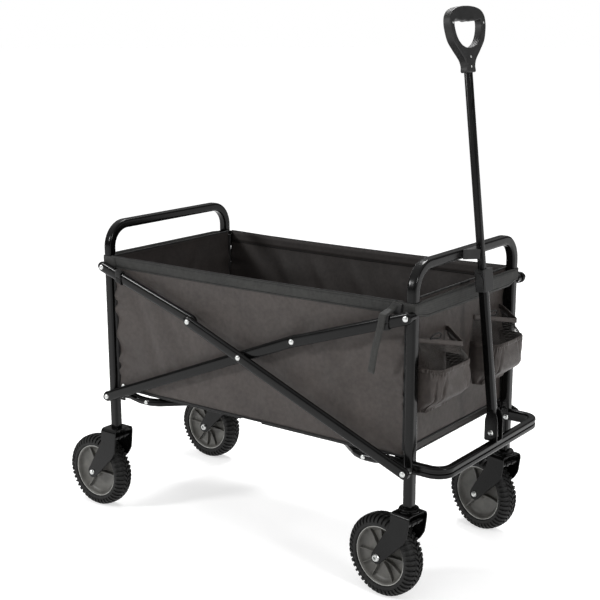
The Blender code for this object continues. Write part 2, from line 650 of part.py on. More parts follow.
def latch_sleeve():
    """The plastic housing at the top of the lower tube, with a recess for its button."""
    low, high = LOWER_TUBE_TOP - 0.012, LOWER_TUBE_TOP + 0.0325
    outline = [(x + SLEEVE_X, y + SLEEVE_Y) for x, y in rounded_rectangle(0.0225, 0.0390, 0.003)]
    sleeve = add("latch_sleeve", slab(outline, low, high), BLACK_PLASTIC, handle)
    wide, narrow = LOWER_TUBE / 2 + CLEAR, UPPER_TUBE / 2 + 0.0004
    boolean(sleeve, block((-wide, -wide, low - 0.01), (wide, wide, LOWER_TUBE_TOP + CLEAR)), "DIFFERENCE")
    boolean(sleeve, block((-narrow, -narrow, low), (narrow, narrow, high + 0.01)), "DIFFERENCE")
    boolean(sleeve, prism(button_outline(0.0004), -0.030, -0.0118), "DIFFERENCE")


def button_outline(margin):
    """The five-sided push button, grown by a margin for its recess."""
    half, tip_half = 0.0082 + margin, 0.003
    low, shoulder = LOWER_TUBE_TOP - 0.005 - margin, LOWER_TUBE_TOP + 0.014
    tip = LOWER_TUBE_TOP + 0.0255 + margin
    right = [(SLEEVE_X + half, low), (SLEEVE_X + half, shoulder), (SLEEVE_X + tip_half, tip)]
    return right + [(2 * SLEEVE_X - x, z) for x, z in reversed(right)]


def handle_grip():
    """A D grip across the wagon, with a waved finger edge and a socket for the upper tube."""
    half, low, arm = GRIP_WIDTH / 2, GRIP_BOTTOM, 0.0110
    side = [(0.0165, low), (0.0195, low + 0.022), (half * 0.62, low + 0.045), (half * 0.93, low + 0.072)]
    side += [(half, low + 0.095), (half * 0.97, low + 0.106), (half * 0.84, low + 0.117)]
    side += [(half * 0.55, GRIP_TOP - 0.003), (0.0, GRIP_TOP)]
    opening = [(0.0, low + 0.037), (0.018, low + 0.041), (0.034, low + 0.053)]
    opening += [(half - arm - 0.004, low + 0.072), (half - arm, low + 0.094)]
    opening += [(half - arm - 0.008, low + 0.0990)]
    opening += [(0.034, low + 0.0975), (0.022, low + 0.0960), (0.010, low + 0.0975), (0.0, low + 0.0955)]
    outline = side + [(-y, z) for y, z in reversed(side[:-1])]
    hole = opening + [(-y, z) for y, z in reversed(opening[1:-1])]
    grip = add("handle_grip", across_prism(outline, GRIP_THICK / 2), BLACK_PLASTIC, handle)
    boolean(grip, across_prism(hole, GRIP_THICK), "DIFFERENCE")
    socket = UPPER_TUBE / 2 + CLEAR
    boolean(grip, block((-socket, -socket, low - 0.01), (socket, socket, low + 0.030)), "DIFFERENCE")


def across_prism(outline, half):
    """An outline in Y and Z, extruded along X."""
    shape = bmesh.new()
    rear = [shape.verts.new((-half, y, z)) for y, z in outline]
    front = [shape.verts.new((half, y, z)) for y, z in outline]
    shape.faces.new(rear)
    shape.faces.new(front)
    for index in range(len(outline)):
        after = (index + 1) % len(outline)
        shape.faces.new((rear[index], rear[after], front[after], front[index]))
    return shape


def handle_clip():
    """The plastic clip on the front bar that the upper tube rests in."""
    top_bar = FRAME_TOP - TUBE / 2
    face = POST_X + TUBE / 2 + CLEAR
    tube_x = YOKE_X - math.tan(HANDLE_LEAN) * (top_bar - YOKE_Z)
    tube_half = UPPER_TUBE / 2 + 0.0012
    reach = tube_x + 0.0035
    jaws = [(face, -0.034), (face, 0.018), (face + 0.004, 0.018)]
    jaws += [(reach, tube_half + 0.0025), (reach, tube_half)]
    jaws += [(tube_x - tube_half, tube_half), (tube_x - tube_half, -tube_half), (reach, -tube_half)]
    jaws += [(reach, -tube_half - 0.0025), (face + 0.005, -0.030)]
    add("handle_clip", slab(jaws, top_bar - 0.0105, top_bar + 0.0095), BLACK_PLASTIC)


yoke()
lower_tube = square_tube("handle_lower_tube", LOWER_TUBE, -0.0110, LOWER_TUBE_TOP)
drill(lower_tube, RIVET_RADIUS + CLEAR, -0.03, 0.03)
square_tube("handle_upper_tube", UPPER_TUBE, UPPER_TUBE_BOTTOM, GRIP_BOTTOM + 0.0295)
latch_sleeve()
add("latch_button", prism(button_outline(0), -0.0171, -0.0143), BLACK_PLASTIC, handle)
handle_grip()
handle_clip()
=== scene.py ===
"""Folding camp wagon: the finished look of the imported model.

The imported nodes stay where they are. Each sub-assembly below builds finer meshes in their place, in a frame
whose X is 0 half way between the posts, and puts each one on the body that it moves with. +X is the front,
where the handle is, and -Y is the wagon's right side.
"""

import logging
import math
from collections.abc import Sequence
from dataclasses import dataclass
from enum import Enum

import bmesh
import bpy
from mathutils import Matrix, Vector, noise


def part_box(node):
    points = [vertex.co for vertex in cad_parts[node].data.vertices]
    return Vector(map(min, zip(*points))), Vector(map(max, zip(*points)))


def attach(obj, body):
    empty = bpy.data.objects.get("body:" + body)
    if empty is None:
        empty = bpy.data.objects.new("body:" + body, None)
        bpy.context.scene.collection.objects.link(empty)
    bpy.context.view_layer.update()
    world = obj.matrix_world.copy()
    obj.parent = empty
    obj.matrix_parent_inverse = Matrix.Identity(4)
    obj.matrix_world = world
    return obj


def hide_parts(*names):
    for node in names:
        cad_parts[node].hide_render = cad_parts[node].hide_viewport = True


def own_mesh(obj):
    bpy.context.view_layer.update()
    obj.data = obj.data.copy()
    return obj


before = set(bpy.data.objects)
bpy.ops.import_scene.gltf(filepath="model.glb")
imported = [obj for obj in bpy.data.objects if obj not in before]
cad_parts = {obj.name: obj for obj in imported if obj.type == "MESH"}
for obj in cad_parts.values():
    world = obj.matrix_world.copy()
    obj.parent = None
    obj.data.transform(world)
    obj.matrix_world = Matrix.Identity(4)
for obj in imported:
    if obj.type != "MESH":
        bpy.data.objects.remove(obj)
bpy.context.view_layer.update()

log = logging.getLogger("wagon")

Pair = tuple[float, float]
Point = tuple[float, float, float]

MM = 0.001
SIDES = {"right": -1, "left": 1}
ENDS = {"rear": -1, "front": 1}
HEART = Vector((0, 0, 0.45))  # the middle of the tub, which the inside of every cloth faces
MIDDLE = (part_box("rear_frame")[0][0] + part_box("front_frame")[1][0]) / 2  # X of the middle between the posts


# ---- materials ----------------------------------------------------------------------------------------
def linear(code: str) -> tuple[float, float, float, float]:
    """Turns an sRGB hex colour into a linear one.

    Args:
        code: The colour, such as "#4a4644".

    Returns:
        Red, green, blue and alpha.
    """
    parts = [int(code[start : start + 2], 16) / 255 for start in (1, 3, 5)]
    light = [part / 12.92 if part <= 0.04045 else ((part + 0.055) / 1.055) ** 2.4 for part in parts]
    return (light[0], light[1], light[2], 1.0)


def add_node(
    tree: bpy.types.NodeTree,
    kind: str,
    options: dict[str, object] | None = None,
    values: dict[str | int, object] | None = None,
    links: dict[str | int, bpy.types.NodeSocket] | None = None,
) -> bpy.types.Node:
    """Adds a node with its settings and links.

    Args:
        tree: The material's or world's node tree.
        kind: The node's type name.
        options: The node's own settings by name.
        values: Values of its inputs, by name or number.
        links: Outputs that feed its inputs, by the input's name or number.

    Returns:
        The new node.
    """
    made = tree.nodes.new(kind)
    for name, option in (options or {}).items():
        setattr(made, name, option)
    for key, value in (values or {}).items():
        made.inputs[key].default_value = value
    for key, output in (links or {}).items():
        tree.links.new(output, made.inputs[key])
    return made


def start_material(name: str, settings: dict[str, object]) -> tuple[bpy.types.Material, bpy.types.Node]:
    """Makes a material whose shader has some settings of its own.

    Args:
        name: The material's name.
        settings: Values of the principled shader's sockets.

    Returns:
        The material and its shader node.
    """
    material = bpy.data.materials.new(name)
    material.use_nodes = True
    shader = material.node_tree.nodes["Principled BSDF"]
    for socket, value in settings.items():
        shader.inputs[socket].default_value = value
    return material, shader


class Recipe:
    """A material under construction, whose patterns lie in the wagon's own coordinates."""

    def __init__(self, name: str, settings: dict[str, object]) -> None:
        """Starts a material.

        Args:
            name: The material's name.
            settings: Values of the principled shader's sockets.
        """
        self.material, self.shader = start_material(name, settings)
        self.tree = self.material.node_tree
        self.place = add_node(self.tree, "ShaderNodeTexCoord").outputs["Object"]

    def patches(self, size: float, detail: float) -> bpy.types.NodeSocket:
        """Adds soft patches of noise.

        Args:
            size: The size of a patch in metres.
            detail: How many finer layers are in it.

        Returns:
            The strength of the patches, from 0 to 1.
        """
        values = {"Scale": 1 / size, "Detail": detail}
        return add_node(self.tree, "ShaderNodeTexNoise", None, values, {"Vector": self.place}).outputs["Fac"]

    def total(self, first: bpy.types.NodeSocket, second: bpy.types.NodeSocket) -> bpy.types.NodeSocket:
        """Adds two values."""
        return add_node(self.tree, "ShaderNodeMath", {"operation": "ADD"}, None, {0: first, 1: second}).outputs[0]

    def colour(self, factor: bpy.types.NodeSocket, stops: Sequence[tuple[float, str]]) -> None:
        """Ramps the base colour between two colours.

        Args:
            factor: What drives the ramp, from 0 to 1.
            stops: Two places on the ramp, each with its sRGB hex colour.
        """
        ramp = add_node(self.tree, "ShaderNodeValToRGB", links={"Fac": factor})
        for stop, (place, code) in zip(ramp.color_ramp.elements, stops):
            stop.position, stop.color = place, linear(code)
        self.tree.links.new(ramp.outputs["Color"], self.shader.inputs["Base Color"])

    def gloss(self, factor: bpy.types.NodeSocket, at_zero: float, at_one: float) -> None:
        """Varies the roughness.

        Args:
            factor: What drives it, from 0 to 1.
            at_zero: The roughness where the factor is 0.
            at_one: The roughness where the factor is 1.
        """
        values = {"To Min": at_zero, "To Max": at_one}
        soft = add_node(self.tree, "ShaderNodeMapRange", None, values, {"Value": factor})
        self.tree.links.new(soft.outputs["Result"], self.shader.inputs["Roughness"])

    def relief(self, height: bpy.types.NodeSocket, strength: float, distance: float) -> None:
        """Gives the surface a fine relief.

        Args:
            height: Its height, from 0 to 1.
            strength: How strongly it bends the light.
            distance: Its depth in metres.
        """
        values = {"Strength": strength, "Distance": distance}
        bump = add_node(self.tree, "ShaderNodeBump", None, values, {"Height": height})
        self.tree.links.new(bump.outputs["Normal"], self.shader.inputs["Normal"])


@dataclass(frozen=True)
class GlossEnamel:
    """Baked black enamel on mild steel tube: deep black, with clear soft-edged reflections."""

    dark: str = "#040404"
    dusty: str = "#0b0b0b"
    dust_size: float = 70 * MM  # patches of handling dust
    peel_size: float = 2.5 * MM  # ripple of the sprayed coat

    def build(self) -> bpy.types.Material:
        """Makes the material, whose ripple keeps long highlights from looking drawn."""
        recipe = Recipe("gloss_enamel_steel", {"IOR": 1.50, "Specular IOR Level": 0.18})
        dust = recipe.patches(self.dust_size, 4.0)
        recipe.colour(dust, [(0.35, self.dark), (0.75, self.dusty)])
        recipe.gloss(dust, 0.14, 0.24)
        recipe.relief(recipe.patches(self.peel_size, 1.0), 0.10, 0.2 * MM)
        return recipe.material


@dataclass(frozen=True)
class ZincPlate:
    """Bright zinc plate on pressed steel rivets and axles: pale, a little cloudy, with soft reflections."""

    bright: str = "#d9dad8"
    cloudy: str = "#a9abaa"
    spangle: float = 2.0 * MM

    def build(self) -> bpy.types.Material:
        """Makes the material, which is a metal and so keeps the default index."""
        recipe = Recipe("zinc_plated_steel", {"Metallic": 1.0})
        cloud = recipe.patches(self.spangle, 3.0)
        recipe.colour(cloud, [(0.3, self.cloudy), (0.7, self.bright)])
        recipe.gloss(cloud, 0.22, 0.40)
        return recipe.material


@dataclass(frozen=True)
class MouldedPlastic:
    """Injection-moulded polypropylene with a spark-eroded skin: even colour, broad dull highlights."""

    name: str
    colour: str
    scuffed: str
    roughness: float = 0.48
    scuff_size: float = 18 * MM
    grain: float = 1.2 * MM  # the skin's own grain is about 0.1 mm, drawn coarser so that it shows

    def build(self) -> bpy.types.Material:
        """Makes the material with its fine skin and a few paler scuffed patches."""
        recipe = Recipe(self.name, {"IOR": 1.49, "Specular IOR Level": 0.32})
        scuff = recipe.patches(self.scuff_size, 6.0)
        recipe.colour(scuff, [(0.40, self.colour), (0.80, self.scuffed)])
        recipe.gloss(scuff, self.roughness - 0.06, self.roughness + 0.08)
        values = {"Scale": 1 / self.grain}
        skin = add_node(recipe.tree, "ShaderNodeTexVoronoi", None, values, {"Vector": recipe.place})
        recipe.relief(skin.outputs["Distance"], 0.14, 0.12 * MM)
        return recipe.material


@dataclass(frozen=True)
class TyreCompound:
    """Moulded black tyre compound: near black and dull, with a greyer bloom in patches."""

    black: str = "#0b0b0b"
    bloom: str = "#191918"
    bloom_size: float = 12 * MM
    skin_size: float = 1.5 * MM

    def build(self) -> bpy.types.Material:
        """Makes the material with its bloom and a slightly rough mould surface."""
        recipe = Recipe("moulded_tyre_compound", {"IOR": 1.52, "Specular IOR Level": 0.25})
        patch = recipe.patches(self.bloom_size, 5.0)
        recipe.colour(patch, [(0.35, self.black), (0.75, self.bloom)])
        recipe.gloss(patch, 0.52, 0.72)
        recipe.relief(recipe.patches(self.skin_size, 2.0), 0.2, 0.2 * MM)
        return recipe.material


@dataclass(frozen=True)
class WovenCloth:
    """Woven yarn, with its threads laid along the cloth's own length and width.

    The threads are drawn by two crossed waves: their sum stands for the crowns of the yarn, which catch
    the light, and what is between them for the gaps, which stay dark.
    """

    name: str
    gap: str
    yarn: str
    thread: float  # spacing of the threads, coarser than the real yarn so that it shows
    roughness: float
    sheen: float
    slub: float = 9 * MM
    fade: float = 90 * MM

    def build(self) -> bpy.types.Material:
        """Makes the material: weave, slubs in the yarn, and a slow change of shade over the cloth."""
        settings = {"Sheen Weight": self.sheen, "Sheen Roughness": 0.45, "Specular IOR Level": 0.30}
        recipe = Recipe(self.name, settings)
        tree = recipe.tree
        cloth = add_node(tree, "ShaderNodeUVMap", {"uv_map": "cloth"}).outputs["UV"]
        rate = 2 * math.pi / (20 * 2 * self.thread)  # a band wave turns once in 2 pi / 20 of its scaled length
        wave = {"Scale": rate, "Distortion": 0.0}
        warp, weft = (
            add_node(tree, "ShaderNodeTexWave", {"bands_direction": way}, wave, {"Vector": cloth}).outputs["Fac"]
            for way in "XY"
        )
        crowns = recipe.total(warp, weft)
        slubs = recipe.patches(self.slub, 5.0)
        mottle = recipe.total(slubs, recipe.patches(self.fade, 2.0))
        mix = add_node(tree, "ShaderNodeMath", {"operation": "MULTIPLY_ADD"}, {1: 0.30}, {0: crowns, 2: mottle})
        span = {"From Min": 0.75, "From Max": 1.85}
        factor = add_node(tree, "ShaderNodeMapRange", None, span, {"Value": mix.outputs[0]})
        recipe.colour(factor.outputs["Result"], [(0.0, self.gap), (1.0, self.yarn)])
        recipe.gloss(slubs, self.roughness + 0.08, self.roughness - 0.08)
        recipe.relief(crowns, 0.35, 0.35 * MM)
        return recipe.material


class Finish(Enum):
    """The finishes of the wagon."""

    # Baked enamel, sprayed: black, with sharp pale reflections along every rounded edge.
    ENAMEL = GlossEnamel()
    # Electroplated zinc: the only bright metal, which makes each rivet a point of light.
    ZINC = ZincPlate()
    # Glass-filled nylon and ABS, moulded: a dull even near-black.
    BLACK_PLASTIC = MouldedPlastic("moulded_black_nylon", "#141414", "#1f1f1f")
    # Polypropylene, moulded: the warm grey of the wheel centres.
    HUB_PLASTIC = MouldedPlastic("moulded_grey_polypropylene", "#4f4e4b", "#5f5e5a", 0.40)
    # The same polypropylene, drawn pale on the lip of the rim: both of its tones are a painted highlight where the
    # lip catches the light.
    LIP_PAINTED_HIGHLIGHT = MouldedPlastic("lip_painted_highlight_polypropylene", "#9c9c98", "#bdbdb9", 0.35)
    # PVC compound, moulded.
    TYRE = TyreCompound()
    # Oxford polyester, woven from 0.5 mm yarn.
    CANVAS = WovenCloth("oxford_polyester", "#292523", "#423c39", 0.9 * MM, 0.50, 0.03)
    # The same cloth on the faces inside the tub, drawn darker and duller.
    DARK_INSIDE = WovenCloth("darker_polyester_inside", "#191615", "#2a2523", 0.9 * MM, 0.62, 0.02)
    # Polypropylene webbing, woven: ribbed, greener and harder than the canvas.
    WEBBING = WovenCloth("polypropylene_webbing", "#171716", "#2e2e2c", 1.6 * MM, 0.66, 0.04)
    # Folded bias tape: a matt black edge.
    BINDING = WovenCloth("polyester_binding", "#090909", "#161616", 1.0 * MM, 0.75, 0.06)
    # Knotless polyester net: dark grey yarn, a little lighter than what is behind it.
    NET = WovenCloth("knotless_polyester_net", "#2e2c2a", "#4e4b48", 0.6 * MM, 0.60, 0.05)

    def material(self) -> bpy.types.Material:
        """Gives the finish's material, made on its first use."""
        if self.name not in MADE:
            MADE[self.name] = self.value.build()
        return MADE[self.name]


MADE: dict[str, bpy.types.Material] = {}


# ---- outlines and paths -------------------------------------------------------------------------------
def arc(centre: Pair, radius: float, start: float, end: float, steps: int) -> list[Pair]:
    """Gives points on an arc.

    Args:
        centre: The arc's centre.
        radius: Its radius.
        start: Its first angle in degrees.
        end: Its last angle in degrees.
        steps: How many chords it has.

    Returns:
        The points in order.
    """
    angles = [math.radians(start + (end - start) * step / steps) for step in range(steps + 1)]
    return [(centre[0] + radius * math.cos(angle), centre[1] + radius * math.sin(angle)) for angle in angles]


def rounded(width: float, height: float, radius: float, steps: int = 4) -> list[Pair]:
    """Gives the outline of a rectangle with round corners, about its middle.

    Args:
        width: Its size along the first axis.
        height: Its size along the second axis.
        radius: The radius of its corners.
        steps: How many chords each corner has.

    Returns:
        The points in order.
    """
    across, up = width / 2 - radius, height / 2 - radius
    return (
        arc((across, up), radius, 0, 90, steps)
        + arc((-across, up), radius, 90, 180, steps)
        + arc((-across, -up), radius, 180, 270, steps)
        + arc((across, -up), radius, 270, 360, steps)
    )


def crowned(width: float, height: float, power: float, steps: int = 32) -> list[Pair]:
    """Gives a rectangle with round corners whose faces bulge.

    Args:
        width: Its size along the first axis.
        height: Its size along the second axis.
        power: How square it is: 2 gives an ellipse.
        steps: How many points it has.

    Returns:
        The points in order.
    """
    outline = []
    for step in range(steps):
        angle = 2 * math.pi * (step + 0.5) / steps
        across, up = math.cos(angle), math.sin(angle)
        size = (abs(across) ** power + abs(up) ** power) ** (-1 / power)
        outline.append((width / 2 * size * across, height / 2 * size * up))
    return outline


def circle(radius: float, steps: int) -> list[Pair]:
    """Gives a round outline."""
    return arc((0, 0), radius, 0, 360 - 360 / steps, steps - 1)


def spread(low: float, high: float, steps: int) -> list[float]:
    """Gives evenly spaced values from one value to another."""
    return [low + (high - low) * step / steps for step in range(steps + 1)]


def spline(a: Vector, b: Vector, c: Vector, d: Vector, t: float) -> Vector:
    """Gives a point between the middle two of four points on a smooth curve."""
    return b + 0.5 * t * (c - a + t * (2 * a - 5 * b + 4 * c - d + t * (3 * (b - c) + d - a)))


def path_length(points: Sequence[Vector]) -> float:
    """Gives the length of a path."""
    return sum((after - before).length for before, after in zip(points, points[1:]))


def stadium(start: float, end: float, radius: float, steps: int = 12) -> list[Pair]:
    """Gives a long outline with half-round ends."""
    return arc((end, 0), radius, -90, 90, steps) + arc((start, 0), radius, 90, 270, steps)


def fillet(corners: Sequence[Point], radius: float, steps: int = 12) -> list[Vector]:
    """Rounds the corners of a path.

    Args:
        corners: The path's corner points.
        radius: The radius of each bend, cut down where the path is short.
        steps: How many chords each bend has.

    Returns:
        The points of the rounded path.
    """
    points = [Vector(corner) for corner in corners]
    path = [points[0]]
    for before, corner, after in zip(points, points[1:], points[2:]):
        back, on = before - corner, after - corner
        turn = math.pi - back.angle(on)
        if turn < 0.01:
            path.append(corner)
            continue
        room = 0.48 * min(back.length, on.length)
        cut = min(radius * math.tan(turn / 2), room)
        bend = cut / math.tan(turn / 2)
        toward = (back.normalized() + on.normalized()).normalized()
        centre = corner + toward * math.hypot(bend, cut)
        start, end = corner + back.normalized() * cut - centre, corner + on.normalized() * cut - centre
        axis = start.cross(end)
        path += [centre + Matrix.Rotation(turn * step / steps, 3, axis) @ start for step in range(steps + 1)]
    return path + [points[-1]]


def smooth_loop(corners: Sequence[Pair], steps: int = 6) -> list[Pair]:
    """Draws a smooth closed curve through points.

    Args:
        corners: The points that it goes through.
        steps: How many points each span is given.

    Returns:
        The curve's points.
    """
    count = len(corners)
    curve = []
    for index in range(count):
        a, b, c, d = (Vector(corners[(index + step) % count]) for step in (-1, 0, 1, 2))
        curve += [tuple(spline(a, b, c, d, step / steps)) for step in range(steps)]
    return curve


def span_at(outline: Sequence[Pair], height: float) -> Pair:
    """Finds how far a closed outline reaches at one height.

    Args:
        outline: Its (across, height) points.
        height: The height.

    Returns:
        The lowest and the highest across value there.
    """
    found = []
    for first, second in zip(outline, list(outline[1:]) + [outline[0]]):
        low, high = sorted((first, second), key=lambda point: point[1])
        if low[1] <= height <= high[1] and high[1] > low[1]:
            found.append(low[0] + (high[0] - low[0]) * (height - low[1]) / (high[1] - low[1]))
    return min(found), max(found)


def smooth_step(value: float) -> float:
    """Goes smoothly from 0 to 1 as the value does."""
    held = min(1.0, max(0.0, value))
    return held * held * (3 - 2 * held)


# ---- meshes -------------------------------------------------------------------------------------------
class Shape:
    """A mesh under construction, with the length and width of its surface kept as its map."""

    def __init__(self) -> None:
        """Starts an empty mesh."""
        self.mesh = bmesh.new()
        self.map = self.mesh.loops.layers.uv.new("cloth")
        self.at = Matrix.Identity(4)

    def loft(
        self,
        rings: Sequence[Sequence[Point | Vector]],
        closed: bool = True,
        capped: bool = True,
        looped: bool = False,
        slots: Sequence[int] | None = None,
    ) -> "Shape":
        """Joins rings of points in order.

        Args:
            rings: Rings with the same number of points.
            closed: Whether each ring closes on itself.
            capped: Whether closed rings get a face at both ends.
            looped: Whether the last ring joins the first.
            slots: The material slot of each span between rings.

        Returns:
            The shape itself.
        """
        places = [[self.at @ Vector(point) for point in ring] for ring in rings]
        made = [[self.mesh.verts.new(place) for place in ring] for ring in places]
        count = len(places[0])
        spans = count if closed else count - 1
        widest = places[len(places) // 2]
        across, along = [0.0], [0.0]
        for index in range(spans):
            across.append(across[-1] + (widest[(index + 1) % count] - widest[index]).length)
        pairs = list(zip(range(len(places)), range(1, len(places)))) + ([(len(places) - 1, 0)] if looped else [])
        for first, second in pairs:
            along.append(along[-1] + (places[second][0] - places[first][0]).length)
        for step, (first, second) in enumerate(pairs):
            for index in range(spans):
                after = (index + 1) % count
                face = self.mesh.faces.new(
                    (made[first][index], made[first][after], made[second][after], made[second][index])
                )
                face.material_index = slots[step] if slots else 0
                corners = [(index, step), (index + 1, step), (index + 1, step + 1), (index, step + 1)]
                for loop, (u, v) in zip(face.loops, corners):
                    loop[self.map].uv = (across[u], along[v])
        if closed and capped and not looped:
            self.mesh.faces.new(made[0])
            self.mesh.faces.new(made[-1])
        return self

    def sweep(self, path: Sequence[Point | Vector], across: Point, section: Sequence[Pair]) -> "Shape":
        """Sweeps a closed section along a path.

        Args:
            path: The path's points.
            across: The section's first axis; its second is the path's normal, and outward on a left turn.
            section: The outline of the section.

        Returns:
            The shape itself.
        """
        points = [Vector(point) for point in path]
        first_axis = Vector(across)
        rings = []
        for index, place in enumerate(points):
            along = (points[min(index + 1, len(points) - 1)] - points[max(index - 1, 0)]).normalized()
            sideways = along.cross(first_axis).normalized()
            upright = sideways.cross(along).normalized()
            rings.append([place + upright * u + sideways * v for u, v in section])
        return self.loft(rings)

    def prism(self, outline: Sequence[Pair], low: float, high: float, axis: str = "Y") -> "Shape":
        """Extrudes an outline along an axis.

        Args:
            outline: Its points, on the other two axes in order.
            low: Where it starts along the axis.
            high: Where it ends.
            axis: The axis, X, Y or Z.

        Returns:
            The shape itself.
        """
        place = "XYZ".index(axis)
        return self.loft([[(*pair[:place], level, *pair[place:]) for pair in outline] for level in (low, high)])

    def turned(
        self,
        profile: Sequence[Pair],
        segments: int,
        axis: str = "Y",
        looped: bool = False,
        slots: Sequence[int] | None = None,
    ) -> "Shape":
        """Turns (radius, height) points about an axis through the origin.

        Args:
            profile: The points, of which none is on the axis.
            segments: How many sides each ring has.
            axis: The axis, Y or Z.
            looped: Whether the profile closes on itself.
            slots: The material slot of each span of the profile.

        Returns:
            The shape itself.
        """
        angles = [2 * math.pi * step / segments for step in range(segments)]
        rings = []
        for radius, height in profile:
            flat = [(radius * math.cos(angle), radius * math.sin(angle)) for angle in angles]
            rings.append([(x, height, z) if axis == "Y" else (x, z, height) for x, z in flat])
        return self.loft(rings, looped=looped, slots=slots)

    def tube(self, levels: Sequence[tuple[Sequence[Pair], float]]) -> "Shape":
        """Makes an upright hollow of outlines in X and Y, each at its height."""
        return self.loft([[(x, y, z) for x, y in ring] for ring, z in levels], looped=True)

    def piece(
        self,
        name: str,
        finishes: Sequence[Finish],
        body: str,
        stands_for: Sequence[str] = (),
        slot: str | None = None,
        bevel: float = 0.0,
        thickness: float = 0.0,
        sharp: float = 38.0,
    ) -> bpy.types.Object:
        """Makes an object of the mesh and puts it on the body that it moves with.

        Args:
            name: The piece's name.
            finishes: Its finishes, in the order of its material slots.
            body: The CAD body that it rides on.
            stands_for: The CAD nodes that it takes the place of.
            slot: A material slot's name, which is not used.
            bevel: The radius of its rounded edges.
            thickness: The thickness that an open sheet is given.
            sharp: The angle in degrees over which an edge stays sharp.

        Returns:
            The object.
        """
        bmesh.ops.recalc_face_normals(self.mesh, faces=self.mesh.faces)
        if thickness and sum(face.normal.dot(face.calc_center_median() - HEART) for face in self.mesh.faces) < 0:
            bmesh.ops.reverse_faces(self.mesh, faces=self.mesh.faces)
        data = bpy.data.meshes.new(name)
        self.mesh.to_mesh(data)
        self.mesh.free()
        data.transform(Matrix.Translation((MIDDLE, 0, 0)))
        data.shade_smooth()
        made = bpy.data.objects.new(name, data)
        bpy.context.collection.objects.link(made)
        for finish in finishes:
            data.materials.append(finish.material())
        if thickness:
            skin = made.modifiers.new("thickness", "SOLIDIFY")
            skin.thickness, skin.offset, skin.material_offset = thickness, 0.0, len(finishes) - 1
        if bevel:
            round_edges(made, bevel)
        else:
            data.set_sharp_from_angle(angle=math.radians(sharp))
        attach(made, body)
        if stands_for:
            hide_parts(*stands_for)
        log.info("made %s on %s", name, body)
        return made


def carve(piece: bpy.types.Object, tool: "Shape") -> None:
    """Cuts a closed shape out of a piece, and leaves no modifier or tool behind.

    Args:
        piece: The piece that is cut, which has no rounded edges yet.
        tool: The shape that is taken away.
    """
    bmesh.ops.recalc_face_normals(tool.mesh, faces=tool.mesh.faces)
    data = bpy.data.meshes.new("tool")
    tool.mesh.to_mesh(data)
    tool.mesh.free()
    data.transform(Matrix.Translation((MIDDLE, 0, 0)))
    cutter = bpy.data.objects.new("tool", data)
    bpy.context.collection.objects.link(cutter)
    cut = piece.modifiers.new("cut", "BOOLEAN")
    cut.operation, cut.solver, cut.object = "DIFFERENCE", "EXACT", cutter
    bpy.context.view_layer.update()
    graph = bpy.context.evaluated_depsgraph_get()
    result = bpy.data.meshes.new_from_object(piece.evaluated_get(graph))
    piece.modifiers.remove(cut)
    bpy.data.objects.remove(cutter)
    piece.data = result


def round_edges(piece: bpy.types.Object, radius: float, segments: int = 4) -> None:
    """Rounds the sharp edges of a finished piece."""
    piece.data.shade_smooth()
    edge = piece.modifiers.new("rounded_edges", "BEVEL")
    edge.width, edge.segments = radius, segments
    edge.limit_method, edge.angle_limit = "ANGLE", math.radians(40)
    piece.modifiers.new("even_shading", "WEIGHTED_NORMAL").keep_sharp = False


# ---- studio -------------------------------------------------------------------------------------------
@dataclass(frozen=True)
class Softbox:
    """A square area light that faces a point."""

    name: str
    place: Point
    target: Point
    size: float
    power: float

    def build(self) -> None:
        """Makes the light."""
        lamp = bpy.data.lights.new(self.name, "AREA")
        lamp.shape, lamp.size, lamp.energy = "SQUARE", self.size, self.power
        made = bpy.data.objects.new(self.name, lamp)
        made.location = self.place
        aim = Vector(self.target) - Vector(self.place)
        made.rotation_euler = aim.to_track_quat("-Z", "Y").to_euler()
        bpy.context.collection.objects.link(made)


